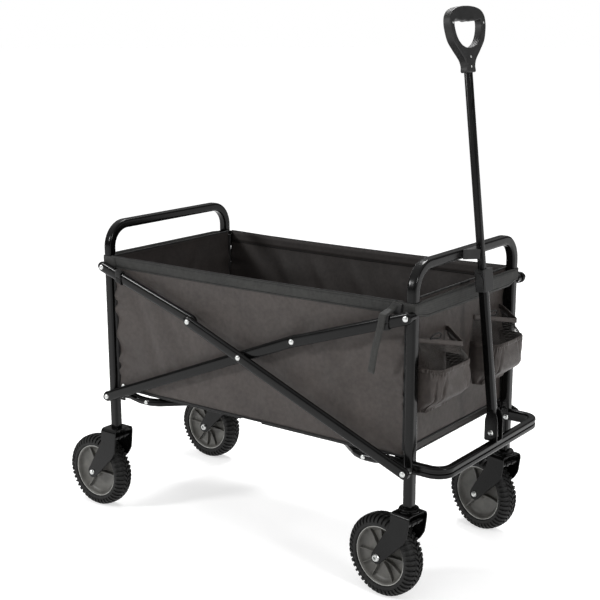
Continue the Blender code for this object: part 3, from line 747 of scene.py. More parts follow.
@dataclass
class Studio:
    """The pale floor, the lights and the camera."""

    eye: Point = (1.5564, -2.0737, 1.1200)
    heading: float = 36.89
    pitch: float = 13.09
    roll: float = -0.14
    lens: float = 71.44
    shift: Pair = (0.0101, 0.0021)
    floor_radius: float = 60.0
    zenith: float = 0.85
    horizon: float = 0.07
    sky: str = "#ffffff"

    def build_camera(self) -> None:
        """Makes the camera."""
        eye = bpy.data.objects.new("camera", bpy.data.cameras.new("camera"))
        eye.data.lens, eye.data.sensor_width, eye.data.clip_end = self.lens, 36, 200
        eye.data.shift_x, eye.data.shift_y = self.shift
        turn = Matrix.Rotation(math.radians(self.heading), 4, "Z")
        turn @= Matrix.Rotation(math.radians(90 - self.pitch), 4, "X")
        turn @= Matrix.Rotation(math.radians(self.roll), 4, "Z")
        eye.matrix_world = Matrix.Translation(self.eye) @ turn
        bpy.context.collection.objects.link(eye)
        bpy.context.scene.camera = eye

    def build_floor(self) -> None:
        """Makes the floor."""
        mesh = bmesh.new()
        bmesh.ops.create_circle(mesh, cap_ends=True, segments=64, radius=self.floor_radius)
        data = bpy.data.meshes.new("studio_floor")
        mesh.to_mesh(data)
        mesh.free()
        material, shader = start_material("matt_painted_floor", {"Roughness": 0.9})
        shader.inputs["Base Color"].default_value = linear("#d8d8d8")
        shader.inputs["Emission Color"].default_value = linear("#ffffff")
        shader.inputs["Emission Strength"].default_value = 0.55
        data.materials.append(material)
        made = bpy.data.objects.new("studio_floor", data)
        bpy.context.collection.objects.link(made)

    def build_sky(self) -> None:
        """Makes the even white surroundings, dimmer near the horizon for what lights the wagon."""
        world = bpy.data.worlds.new("studio")
        world.use_nodes = True
        bpy.context.scene.world = world
        tree = world.node_tree
        place = add_node(tree, "ShaderNodeTexCoord").outputs["Generated"]
        split = add_node(tree, "ShaderNodeSeparateXYZ", links={"Vector": place})
        power = add_node(
            tree,
            "ShaderNodeMapRange",
            {"interpolation_type": "SMOOTHSTEP"},
            {"From Min": 0.05, "From Max": 0.85, "To Min": self.horizon, "To Max": self.zenith},
            {"Value": split.outputs["Z"]},
        )
        seen = add_node(tree, "ShaderNodeLightPath").outputs["Is Camera Ray"]
        strength = add_node(
            tree, "ShaderNodeMath", {"operation": "MAXIMUM"}, links={0: power.outputs["Result"], 1: seen}
        )
        back = tree.nodes["Background"]
        back.inputs["Color"].default_value = linear(self.sky)
        tree.links.new(strength.outputs[0], back.inputs["Strength"])

    def build(self) -> None:
        """Makes the whole studio."""
        self.build_camera()
        self.build_floor()
        self.build_sky()
        Softbox("overhead", (-0.3, 1.0, 2.9), (0.0, 0.0, 0.3), 1.0, 66).build()
        Softbox("camera_left", (-2.2, -3.2, 2.2), (0.0, 0.0, 0.4), 0.65, 90).build()
        Softbox("front_side", (3.4, -0.9, 1.7), (0.0, 0.0, 0.4), 0.55, 44).build()
        scene = bpy.context.scene
        scene.view_settings.view_transform = "Standard"
        scene.view_settings.look = "None"


# ---- the wagon's shared plan --------------------------------------------------------------------------
@dataclass(frozen=True)
class Plan:
    """Sizes that several sub-assemblies share, in metres."""

    post_x: float = 0.400
    post_y: float = 0.2014
    tube: float = 0.020
    frame_top: float = 0.689
    pivot_x: float = 0.405
    pivot_low: float = 0.2811
    pivot_top: float = 0.5873
    cross_z: float = 0.4448
    link_x: float = 0.1396
    bar_thick: float = 0.011
    bar_spacer: float = 0.0035
    bar_gap: float = 0.0006
    tub_top: float = 0.612
    tub_bottom: float = 0.302
    tub_side: float = 0.2015
    tub_end: float = 0.3850
    handle_x: float = 0.4740
    handle_z: float = 0.3165
    lean: float = math.radians(6.6)

    @property
    def post_face(self) -> float:
        """Outer face of the posts."""
        return self.post_y + self.tube / 2

    def layer(self, number: int) -> float:
        """Middle of a layer of bars, 0 being the inner one."""
        return self.post_face + self.bar_spacer + self.bar_thick / 2 + number * (self.bar_thick + self.bar_gap)

    @property
    def rise(self) -> float:
        """Slope of the long bars."""
        return (self.cross_z - self.pivot_low) / self.pivot_x

    @property
    def link_z(self) -> float:
        """Height of the joint between a long bar and its link."""
        return self.pivot_low + self.rise * (self.pivot_x + self.link_x)

    def handle_place(self) -> Matrix:
        """Where the handle's own frame is, with its Z up the tubes."""
        return Matrix.Translation((self.handle_x, 0, self.handle_z)) @ Matrix.Rotation(-self.lean, 4, "Y")


PLAN = Plan()


def rivet(
    shape: Shape, x: float, z: float, side: int, inner: float, outer: float, collar: Pair | None = None
) -> None:
    """Adds a rivet across the wagon, with a domed head on each face.

    Args:
        shape: The mesh that it joins.
        x: Its place along the wagon.
        z: Its height.
        side: -1 on the right and 1 on the left.
        inner: Where the inner head sits, as a distance from the middle of the wagon.
        outer: Where the outer head sits.
        collar: From where to where the pin is as wide as its heads.
    """
    pin, head, tall = 4 * MM, 6.0 * MM, 2.6 * MM
    dome = [(0.3 * MM, 1.0), (0.40 * head, 0.93), (0.72 * head, 0.70), (0.93 * head, 0.38), (head, 0.0)]
    profile = [(radius, inner - tall * share) for radius, share in dome] + [(pin, inner)]
    if collar:
        profile += [(pin, collar[0]), (head, collar[0]), (head, collar[1]), (pin, collar[1])]
    profile += [(pin, outer)] + [(radius, outer + tall * share) for radius, share in reversed(dome)]
    shape.at = Matrix.Translation((x, 0, z)) @ Matrix.Scale(side, 4, (0, 1, 0))
    shape.turned(profile, 20)
    shape.at = Matrix.Identity(4)


def button_head(shape: Shape, place: Point, facing: Point, radius: float, tall: float) -> None:
    """Adds a small domed head that faces a given way.

    Args:
        shape: The mesh that it joins.
        place: The middle of its seat.
        facing: The way it faces.
        radius: Its radius.
        tall: How far it stands out.
    """
    outline = [(radius, -0.5 * MM), (radius, 0.25 * tall), (0.88 * radius, 0.65 * tall), (0.55 * radius, 0.93 * tall)]
    shape.at = Matrix.Translation(place) @ Vector(facing).to_track_quat("Z", "Y").to_matrix().to_4x4()
    shape.turned(outline + [(0.02 * radius, tall)], 20, "Z")
    shape.at = Matrix.Identity(4)


def folded_strip(shape: Shape, line: Sequence[Pair], outline: Sequence[Pair], plate: float, edge: float) -> None:
    """Adds a strip of plate folded along a line across the wagon.

    Args:
        shape: The mesh that it joins.
        line: Y and Z of the middle of the plate, from one end of the strip to the other.
        outline: X and Z of the folded part seen from the side, which gives the strip its width.
        plate: The thickness.
        edge: How far the rounded edges reach in from the sides.
    """
    levels = [z for _, z in outline]
    low, high, thin = min(levels) + 0.05 * MM, max(levels) - 0.05 * MM, plate / 2
    rings = []
    for index, (y, z) in enumerate(line):
        before, after = line[max(index - 1, 0)], line[min(index + 1, len(line) - 1)]
        along = Vector((after[0] - before[0], after[1] - before[1])).normalized()
        start, end = span_at(outline, min(max(z, low), high))
        inset = min(edge, 0.3 * (end - start))
        corners = [(start, -0.4), (start, 0.4), (start + inset, 1), (end - inset, 1)]
        corners += [(end, 0.4), (end, -0.4), (end - inset, -1), (start + inset, -1)]
        rings.append([(x, y - along.y * out * thin, z + along.x * out * thin) for x, out in corners])
    shape.loft(rings)


# ---- frames -------------------------------------------------------------------------------------------
@dataclass
class EndFrame:
    """An upside-down U of square tube, with its bosses, floor-bar brackets and bracket rivets."""

    name: str
    end: int
    crown: float = 6.0
    bend: float = 0.050
    foot: float = 0.2031
    bracket_z: float = 0.2885
    bracket_y: float = 0.2002

    def build(self) -> None:
        """Makes the frame and its rivets."""
        x, top = self.end * PLAN.post_x, PLAN.frame_top - PLAN.tube / 2
        corners = [(x, -PLAN.post_y, self.foot), (x, -PLAN.post_y, top), (x, PLAN.post_y, top)]
        corners.append((x, PLAN.post_y, self.foot))
        shape = Shape().sweep(
            fillet(corners, self.bend, 16), (1, 0, 0), crowned(PLAN.tube, PLAN.tube, self.crown)
        )
        for side in SIDES.values():
            self.add_boss(shape, side)
            self.add_bracket(shape, side)
        shape.piece(self.name, [Finish.ENAMEL], self.name, [self.name], "frame_paint")
        self.build_rivets()

    def add_boss(self, shape: Shape, side: int) -> None:
        """Adds the boss that spaces a link's top pivot off the post.

        Args:
            shape: The frame's mesh.
            side: -1 on the right and 1 on the left.
        """
        reach = PLAN.layer(0 if self.end < 0 else 1) - PLAN.bar_thick / 2 - 0.5 * MM
        shape.at = Matrix.Translation((self.end * PLAN.pivot_x, 0, PLAN.pivot_top))
        shape.at @= Matrix.Scale(side, 4, (0, 1, 0))
        base, radius = PLAN.post_face - 1 * MM, 9 * MM
        shape.turned([(radius, base), (radius, reach - 0.8 * MM), (radius - 0.8 * MM, reach)], 24)
        shape.at = Matrix.Identity(4)

    def add_bracket(self, shape: Shape, side: int) -> None:
        """Adds the two ears and the back plate that hold a floor bar.

        Args:
            shape: The frame's mesh.
            side: -1 on the right and 1 on the left.
        """
        half, ear, back, deep = 11 * MM, 1.5 * MM, 4 * MM, 24 * MM
        near, far = 0.359, PLAN.post_x - PLAN.tube / 2 + 0.7 * MM
        ears = [(near, -half), (far, -half), (far, half), (near, half), (near, half - ear)]
        ears += [(far - back, half - ear), (far - back, ear - half), (near, ear - half)]
        outline = [(self.end * x, side * self.bracket_y + y) for x, y in ears]
        shape.prism(outline, self.bracket_z - deep / 2, self.bracket_z + deep / 2, "Z")

    def build_rivets(self) -> None:
        """Makes the bright heads of the rivets that fix the brackets."""
        shape = Shape()
        for side in SIDES.values():
            for z in (0.2990, 0.3175):
                if self.end < 0:
                    place, facing = (self.end * (PLAN.post_x + PLAN.tube / 2), side * PLAN.post_y, z), (-1, 0, 0)
                else:
                    inner = PLAN.post_y - PLAN.tube / 2
                    place, facing = (self.end * PLAN.post_x, side * inner, z), (0, -side, 0)
                button_head(shape, place, facing, 6 * MM, 2.4 * MM)
        finish = Finish.ZINC if self.end < 0 else Finish.ENAMEL
        shape.piece(f"{self.name}_bracket_rivets", [finish], self.name, slot="zinc_hardware")
        if self.end > 0:
            return
        pins = Shape()
        for side in SIDES.values():
            button_head(pins, (-0.3700, side * 0.2045, 0.3080), (0, side, 0), 5.5 * MM, 2.2 * MM)
        pins.piece("rear_corner_rivets", [Finish.ZINC], "rear_frame", slot="zinc_hardware")


@dataclass
class CrossTube:
    """The square tube between the rear posts."""

    z: float = 0.2850
    half: float = 0.1878

    def build(self) -> None:
        """Makes the tube."""
        path = [(-PLAN.post_x, y, self.z) for y in (-self.half, 0, self.half)]
        shape = Shape().sweep(path, (1, 0, 0), crowned(PLAN.tube, PLAN.tube, 6.0))
        shape.piece("rear_cross_tube", [Finish.ENAMEL], "rear_frame", ["rear_cross_tube"], "frame_paint")


@dataclass
class Bumper:
    """The bent rail ahead of the front posts, rolled with a groove along its outer face."""

    x: float = 0.4740
    z: float = 0.2850
    tall: float = 0.024
    thick: float = 0.016
    bend: float = 0.050

    def section(self) -> list[Pair]:
        """Gives its outline: height first, and outward second."""
        up, out, corner, groove, deep = self.tall / 2, self.thick / 2, 4.6 * MM, 3.0 * MM, 3.2 * MM
        outline = arc((-up + corner, out - corner), corner, 180, 90, 4)
        outline += [(-groove, out - 0.6 * MM), (-0.5 * groove, out - deep), (0.5 * groove, out - deep)]
        outline += [(groove, out - 0.6 * MM)] + arc((up - corner, out - corner), corner, 90, 0, 4)
        outline += arc((up - corner, -out + corner), corner, 0, -90, 4)
        return outline + arc((-up + corner, -out + corner), corner, 270, 180, 4)

    def build(self) -> None:
        """Makes the rail."""
        start = PLAN.post_x + PLAN.tube / 2 + 0.3 * MM
        corners = [(start, -PLAN.post_y, self.z), (self.x, -PLAN.post_y, self.z)]
        corners += [(self.x, PLAN.post_y, self.z), (start, PLAN.post_y, self.z)]
        shape = Shape().sweep(fillet(corners, self.bend, 16), (0, 0, 1), self.section())
        shape.piece("front_bumper", [Finish.ENAMEL], "front_frame", ["front_bumper"], "frame_paint")


# ---- scissor bars -------------------------------------------------------------------------------------
@dataclass
class ScissorSide:
    """The two long bars of a side, their links and their rivets."""

    side_name: str
    height: float = 0.024
    crown: float = 2.7

    @property
    def side(self) -> int:
        """-1 on the right and 1 on the left."""
        return SIDES[self.side_name]

    def bar(self, name: str, start: Pair, end: Pair, layer: int) -> None:
        """Makes a flat-oval bar between two pivots.

        Args:
            name: Its CAD node and body.
            start: X and Z of its first pivot.
            end: X and Z of its second pivot.
            layer: Which layer it is in.
        """
        length = math.dist(start, end)
        angle = math.atan2(end[1] - start[1], end[0] - start[0])
        shape = Shape()
        shape.at = Matrix.Translation((start[0], self.side * PLAN.layer(layer), start[1]))
        shape.at @= Matrix.Rotation(-angle, 4, "Y")
        half, rings = self.height / 2, []
        ends = [half * math.sin(math.radians(9 * step)) for step in range(1, 11)]
        places = [-reach for reach in reversed(ends)] + [length * step / 8 for step in range(9)]
        for place in places + [length + reach for reach in ends]:
            past = max(-place, place - length, 0.0) / half
            share = max(0.04, math.sqrt(max(0.0, 1 - past**2)))
            thick = PLAN.bar_thick * (0.72 + 0.28 * min(1.0, 2.2 * share))
            section = crowned(self.height * share, thick, self.crown)
            rings.append([(place, y, z) for z, y in section])
        shape.loft(rings)
        full = f"{name}_{self.side_name}"
        shape.piece(full, [Finish.ENAMEL], full, [full], "frame_paint", sharp=60)

    def build(self) -> None:
        """Makes the bars and links, and the rivets on the bodies that carry them."""
        low, top, cross = PLAN.pivot_low, PLAN.pivot_top, PLAN.link_x
        self.bar("rising_bar", (-PLAN.pivot_x, low), (cross, PLAN.link_z), 0)
        self.bar("falling_bar", (PLAN.pivot_x, low), (-cross, PLAN.link_z), 1)
        self.bar("front_link", (cross, PLAN.link_z), (PLAN.pivot_x, top), 1)
        self.bar("rear_link", (-cross, PLAN.link_z), (-PLAN.pivot_x, top), 0)
        half = PLAN.bar_thick / 2
        inner, outer = PLAN.layer(0) - half, PLAN.layer(1) + half
        for end_name, end in ENDS.items():
            link = f"{end_name}_link_{self.side_name}"
            shape = Shape()
            rivet(shape, end * cross, PLAN.link_z, self.side, inner, outer)
            face = PLAN.layer(0 if end < 0 else 1) + half
            button_head(shape, (end * PLAN.pivot_x, self.side * face, top), (0, self.side, 0), 6.0 * MM, 2.6 * MM)
            shape.piece(f"{link}_rivets", [Finish.ZINC], link, slot="zinc_hardware")
            node = f"lower_rivet_{end_name}_{self.side_name}"
            shape = Shape()
            bar_in = face - PLAN.bar_thick
            collar = (PLAN.post_face + 0.3 * MM, bar_in - 0.3 * MM)
            rivet(shape, end * PLAN.pivot_x, low, self.side, PLAN.post_y - PLAN.tube / 2, face, collar)
            shape.piece(node, [Finish.ZINC], f"{end_name}_frame", [node], "zinc_hardware")
        shape = Shape()
        rivet(shape, 0, PLAN.cross_z, self.side, inner, outer)
        node = f"crossing_rivet_{self.side_name}"
        shape.piece(node, [Finish.ZINC], f"rising_bar_{self.side_name}", [node], "zinc_hardware")


# ---- floor --------------------------------------------------------------------------------------------
@dataclass
class Floor:
    """The folding floor: four tube bars, the hub under its middle and two fabric-covered boards."""

    pivot_x: float = 0.370
    pivot_z: float = 0.2885
    bar_z: float = 0.2835
    bar_radius: float = 0.009
    bracket_y: float = 0.2002
    board_low: float = 0.2945
    board_high: float = 0.2995
    board_half: float = 0.1850

    def bar(self, end_name: str, side_name: str, inner_y: float, inner_x: float) -> None:
        """Makes a bent round bar from its bracket to the hub.

        Args:
            end_name: "rear" or "front".
            side_name: "right" or "left".
            inner_y: How far its inner arm is from the middle.
            inner_x: How far its inner end is from the middle, toward its own end.
        """
        end, side = ENDS[end_name], SIDES[side_name]
        y, z = self.bracket_y, self.bar_z
        route = [(0.3765, y, self.pivot_z), (0.350, y, self.pivot_z), (0.318, y, z), (0.290, y, z)]
        route += [(0.270, y - 0.008, z), (0.090, inner_y + 0.012, z), (0.060, inner_y, z), (inner_x, inner_y, z)]
        shape = Shape()
        shape.at = Matrix.Diagonal((end, side, 1, 1))
        shape.sweep(fillet(route, 0.030, 6), (0, 0, 1), circle(self.bar_radius, 20))
        name = f"floor_bar_{end_name}_{side_name}"
        shape.piece(name, [Finish.ENAMEL], f"floor_{end_name}", [name], "frame_paint")
        shape = Shape()
        for face, facing in ((y + 0.0112, 1), (y - 0.0112, -1)):
            place = (end * self.pivot_x, side * face, self.pivot_z)
            button_head(shape, place, (0, side * facing, 0), 6.5 * MM, 2.3 * MM)
        button_head(shape, (end * 0.2955, side * (y + 0.0088), z), (0, side, 0), 5.0 * MM, 1.8 * MM)
        shape.piece(f"{name}_rivets", [Finish.ZINC], f"floor_{end_name}", slot="zinc_hardware")

    def board(self, end_name: str) -> None:
        """Makes half of the floor: a board in a cloth cover, notched round the hub.

        Args:
            end_name: "rear" or "front".
        """
        inner, notch, outer, notch_half = 0.028, 0.064, 0.380, 0.054
        narrow, wide, wider = self.board_half, self.board_half + 9.5 * MM, self.board_half + 11.0 * MM
        edge = [(inner, wider), (0.298, wider), (0.303, wide), (0.345, wide), (0.352, narrow), (outer, narrow)]
        outline = [(x, -y) for x, y in edge] + edge[::-1]
        outline += [(inner, notch_half), (notch, notch_half), (notch, -notch_half), (inner, -notch_half)]
        levels = (self.board_low, self.board_high)
        shape = Shape().loft([[(ENDS[end_name] * x, y, z) for x, y in outline] for z in levels], slots=[1])
        name = f"floor_board_{end_name}"
        finishes = [Finish.DARK_INSIDE, Finish.BINDING]
        shape.piece(name, finishes, f"floor_{end_name}", [name], "tub_fabric", bevel=1.8 * MM)

    def hub(self) -> None:
        """Makes the hub's plate, web and pin."""
        shape = Shape().prism(rounded(0.034, 0.100, 0.005), self.board_low, self.board_low + 0.0042, "Z")
        shape.prism(rounded(0.020, 0.0084, 0.001), self.bar_z - 0.010, self.board_low + 0.001, "Z")
        shape.at = Matrix.Translation((0, 0, self.bar_z))
        shape.turned([(0.003, -0.026), (0.003, 0.026)], 16)
        shape.piece("floor_hub", [Finish.BLACK_PLASTIC], "floor_hub", ["floor_hub"], "black_plastic")

    def strip(self) -> None:
        """Makes the strip of canvas over the hub, bulged a little between the boards."""
        length, width = 0.130, 2 * self.board_half + 0.022
        rings = []
        for x in spread(-length / 2, length / 2, 18):
            lift = 1.6 * MM * (1 - (2 * x / length) ** 2) + 0.25 * MM * math.sin(x * 190)
            z = self.board_high + 1.1 * MM + lift
            rings.append([(x, y, z) for y in spread(-width / 2, width / 2, 24)])
        shape = Shape().loft(rings, closed=False)
        piece = shape.piece(
            "floor_centre_strip", [Finish.CANVAS], "floor_hub", slot="tub_fabric", thickness=0.9 * MM
        )
        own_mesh(piece)

    def build(self) -> None:
        """Makes the whole floor."""
        for side_name in SIDES:
            self.bar("rear", side_name, 0.0145, 0.005)
            self.bar("front", side_name, 0.0405, 0.004)
        self.board("rear")
        self.board("front")
        self.hub()
        self.strip()


# ---- wheels -------------------------------------------------------------------------------------------
class HubFace(Enum):
    """Which face of a wheel's centre is on the wagon's right: the wheels were put on either way round."""

    THREE_RIBS = 1
    NINE_RIBS = -1


@dataclass
class Wheel:
    """A wheel with a lugged tyre and a ribbed centre, in its fork."""

    corner: str
    face: HubFace
    rib_turn: float
    trail: float = 0.0575
    axle_z: float = 0.08573
    tyre_radius: float = 0.0824
    lug: float = 3.5 * MM
    lugs: int = 46
    fork_inside: float = 0.053
    plate: float = 3 * MM

    @property
    def place(self) -> Matrix:
        """Where the fork's own frame is: on the ground under its post, turned as the caster is."""
        end_name, side_name = self.corner.split("_")
        end, side = ENDS[end_name], SIDES[side_name]
        turn = 0.0 if end < 0 else math.radians(-8.0 if side < 0 else -14.0)
        return Matrix.Translation((end * PLAN.post_x, side * PLAN.post_y, 0)) @ Matrix.Rotation(turn, 4, "Z")

    @property
    def axle_place(self) -> Matrix:
        """Where the axle's own frame is."""
        return self.place @ Matrix.Translation((-self.trail, 0, self.axle_z))

    @property
    def fork_body(self) -> str:
        """The body that carries the fork."""
        end_name, side_name = self.corner.split("_")
        return "rear_frame" if end_name == "rear" else f"caster_{side_name}"

    def tread_profile(self) -> list[Pair]:
        """Gives half of the tyre's profile from its crown to its bead, as (radius, half width)."""
        drops = [(0, 0), (0.2, 6), (0.9, 11), (2.6, 15.5), (5.6, 19), (9.6, 21.4), (13.6, 22.6), (17.0, 22.3)]
        drops += [(19.0, 21.4), (20.4, 19.2)]
        return [(self.tyre_radius - drop * MM, half * MM) for drop, half in drops]

    def on_tread(self, along: float, out: float) -> Pair:
        """Finds a point a given way round the profile from the crown and out from the surface.

        Args:
            along: The distance along the profile, negative on the other half.
            out: The distance out from the surface.

        Returns:
            Its radius and its place across the tyre.
        """
        profile, left = self.tread_profile(), abs(along)
        for first, second in zip(profile, profile[1:]):
            step = math.dist(first, second)
            if left <= step or second is profile[-1]:
                share = left / step
                radius = first[0] + (second[0] - first[0]) * share
                half = first[1] + (second[1] - first[1]) * share
                normal = ((second[1] - first[1]) / step, (first[0] - second[0]) / step)
                half += out * normal[1]
                return radius + out * normal[0], math.copysign(half, along)
            left -= step
        return profile[-1]

    def add_lug(self, shape: Shape, angle: float, start: float, end: float, wide: float, slant: float) -> None:
        """Adds a tread block that follows the tyre's curve.

        Args:
            shape: The mesh that it joins.
            angle: Its place round the tyre.
            start: Where it starts along the profile.
            end: Where it ends.
            wide: Its half width, as an angle.
            slant: How much it turns round the tyre from start to end.
        """
        rings = []
        for step in range(5):
            share = step / 4
            along = start + (end - start) * share
            height = self.lug * (1.0 if share < 0.75 else 1.0 - 0.45 * (share - 0.75) / 0.25)
            middle = angle + slant * share
            low, high = self.on_tread(along, -0.6 * MM), self.on_tread(along, height)
            ring = []
            for (radius, y), half in ((low, -wide), (high, -0.84 * wide), (high, 0.84 * wide), (low, wide)):
                ring.append((radius * math.cos(middle + half), y, radius * math.sin(middle + half)))
            rings.append(ring)
        shape.loft(rings)

    def build_tyre(self) -> None:
        """Makes the tyre with its four rows of blocks."""
        half = self.tread_profile()
        profile = [(radius, -y) for radius, y in reversed(half)] + half[1:]
        profile += [(62.9 * MM, 17 * MM), (62.9 * MM, -17 * MM)]
        shape = Shape()
        shape.at = self.axle_place
        shape.turned(profile, 72, looped=True)
        pitch = 2 * math.pi / self.lugs
        for step in range(self.lugs):
            angle = pitch * step
            for side in (-1, 1):
                offset = 0.5 * pitch * (side > 0)
                for past, start, end, wide, slant in ((0, 9.5, 28, 0.27, 0.12), (0.45, 0.4, 8.6, 0.33, 0.62)):
                    place, ends = angle + offset + past * pitch, (side * start * MM, side * end * MM)
                    self.add_lug(shape, place, *ends, wide * pitch, slant * pitch)
        name = f"tyre_{self.corner}"
        shape.piece(name, [Finish.TYRE], f"wheel_{self.corner}", [name], "tyre_rubber", sharp=30)

    def add_rib(self, shape: Shape, angle: float, side: int, wide: float) -> None:
        """Adds a radial rib to one face of the wheel's centre.

        Args:
            shape: The mesh that it joins.
            angle: Its place round the wheel.
            side: Which face it is on, -1 or 1.
            wide: Its width at its foot.
        """
        rings = []
        for radius, height in ((12.5, 17.0), (24.0, 12.6), (44.0, 12.0), (57.6, 14.0)):
            ring = []
            for y, half in ((0.0, 0.8), (height * MM - 0.5 * MM, 0.55), (height * MM, 0.3)):
                ring.append((half * wide, y))
            outline = ring + [(-across, y) for across, y in reversed(ring)]
            turn = Matrix.Rotation(-angle, 4, "Y")
            rings.append([turn @ Vector((radius * MM, side * y, across)) for across, y in outline])
        shape.loft(rings)

    def build_hub(self) -> None:
        """Makes the wheel's centre: a dish, a boss, a lip, and ribs that differ on the two faces."""
        half = [(5.4, 19.4), (11.8, 19.4), (13.4, 18.4), (14.4, 9.0), (17.0, 6.4), (24.0, 5.0), (40.0, 4.6)]
        half += [(50.0, 6.0), (54.6, 9.0), (56.6, 13.4), (57.8, 16.6), (60.3, 18.2), (61.5, 18.4), (62.6, 16.8)]
        profile = [(radius * MM, y * MM) for radius, y in half]
        profile += [(radius * MM, -y * MM) for radius, y in reversed(half)]
        last = len(profile) - 1
        # Slot 1, the lip's two rings, takes the pale finish that is a painted highlight.
        slots = [1 if step in (11, last - 12) else 0 for step in range(len(profile))]
        shape = Shape()
        shape.at = self.axle_place
        shape.turned(profile, 72, looped=True, slots=slots)
        three = -self.face.value
        for group in range(3):
            angle = self.rib_turn + math.radians(120 * group)
            self.add_rib(shape, angle, three, 3.4 * MM)
            for step in (-1, 0, 1):
                self.add_rib(shape, angle + math.radians(31.5 * step), -three, 1.7 * MM)
        name = f"wheel_hub_{self.corner}"
        shape.piece(name, [Finish.HUB_PLASTIC, Finish.LIP_PAINTED_HIGHLIGHT], f"wheel_{self.corner}", [name], "hub_plastic")

    def build_axle(self) -> None:
        """Makes the axle: a headed tube with an open end on one side, and a plain pin end on the other."""
        face = self.fork_inside / 2 + self.plate + 0.3 * MM
        closed = [(0.3, 5.2), (3.0, 5.0), (5.2, 3.8), (6.2, 2.0), (6.6, 0.0), (5.0, 0.0)]
        opened = [(0.3, 1.0), (3.0, 1.2), (3.2, 4.2), (3.8, 5.0), (5.8, 5.0), (7.6, 3.4), (8.4, 0.0), (5.0, 0.0)]
        near = opened if self.face is HubFace.NINE_RIBS else closed
        far = closed if self.face is HubFace.NINE_RIBS else opened
        profile = [(radius * MM, -face - out * MM) for radius, out in near]
        profile += [(radius * MM, face + out * MM) for radius, out in reversed(far)]
        shape = Shape()
        shape.at = self.axle_place
        shape.turned(profile, 24)
        name = f"axle_{self.corner}"
        shape.piece(name, [Finish.ZINC], self.fork_body, [name], "zinc_hardware")

    def build_fork(self) -> None:
        """Makes the fork: one strip of plate folded over the wheel."""
        rear = self.corner.startswith("rear")
        top = 0.2027 if rear else 0.1942
        lobe = arc((-self.trail, self.axle_z), 14 * MM, 138, 308, 16)
        outline = [(0.0225, top), (-0.0225, top), (-0.0235, top - 0.012), (-0.0250, 0.166)] + lobe
        outline += [(0.0090, 0.132), (0.0185, 0.148), (0.0235, top - 0.012)]
        middle = self.fork_inside / 2 + self.plate / 2
        low = self.axle_z - 14 * MM + 0.3 * MM
        leg = [low + (self.axle_z - 6 * MM - low) * smooth_step(step / 6) ** 2 for step in range(7)]
        leg += [self.axle_z + (top - 9 * MM - self.axle_z) * step / 18 for step in range(19)]
        fold = 7.0 * MM
        corner = arc((middle - fold, top - self.plate / 2 - fold), fold, 0, 90, 6)
        half = [(middle, z) for z in leg] + corner + [(y, top - self.plate / 2) for y in (0.012, 0.0)]
        line = [(-y, z) for y, z in half] + [(y, z) for y, z in reversed(half[:-1])]
        shape = Shape()
        shape.at = self.place
        folded_strip(shape, line, outline, self.plate, 0.9 * MM)
        pin = self.fork_inside / 2 + 0.2 * MM  # half the length of the ridged sleeve between the legs
        shape.at = self.place @ Matrix.Translation((0.011, 0, top - 0.021))
        bands = [-1.0, -0.42, -0.40, -0.20, -0.18, 0.18, 0.20, 0.40, 0.42, 1.0]
        shape.turned([((6.2 if step % 4 < 2 else 7.6) * MM, pin * band) for step, band in enumerate(bands)], 20)
        shape.at = self.place
        under = top - self.plate
        nut = [(4.4, 17), (4.8, 16.4), (4.8, 10), (9.0, 10), (9.6, 9.4), (9.6, 2.8), (11.5, 2.6), (11.5, -0.2)]
        shape.turned([(radius * MM, under - down * MM) for radius, down in nut], 24, "Z")
        name = f"fork_{self.corner}"
        shape.piece(name, [Finish.ENAMEL], self.fork_body, [name], "frame_paint")

    def build_race(self) -> None:
        """Makes the pair of pressed cups that the front fork swivels in."""
        side_name = self.corner.split("_")[1]
        profile = [(2, 194.5), (20.5, 194.5), (21.5, 195.2), (21.5, 196.6), (20.4, 197.4), (18.6, 197.8)]
        profile += [(18.6, 198.6), (20.0, 199.2), (20.4, 200.2), (19.4, 201.6), (16.0, 202.6), (2, 202.7)]
        shape = Shape()
        shape.at = self.place
        shape.turned([(radius * MM, z * MM) for radius, z in profile], 36, "Z")
        name = f"caster_race_{side_name}"
        shape.piece(name, [Finish.ENAMEL], "front_frame", [name], "frame_paint")

    def build(self) -> None:
        """Makes the wheel, its axle and its fork."""
        self.build_tyre()
        self.build_hub()
        self.build_axle()
        self.build_fork()
        if self.corner.startswith("front"):
            self.build_race()


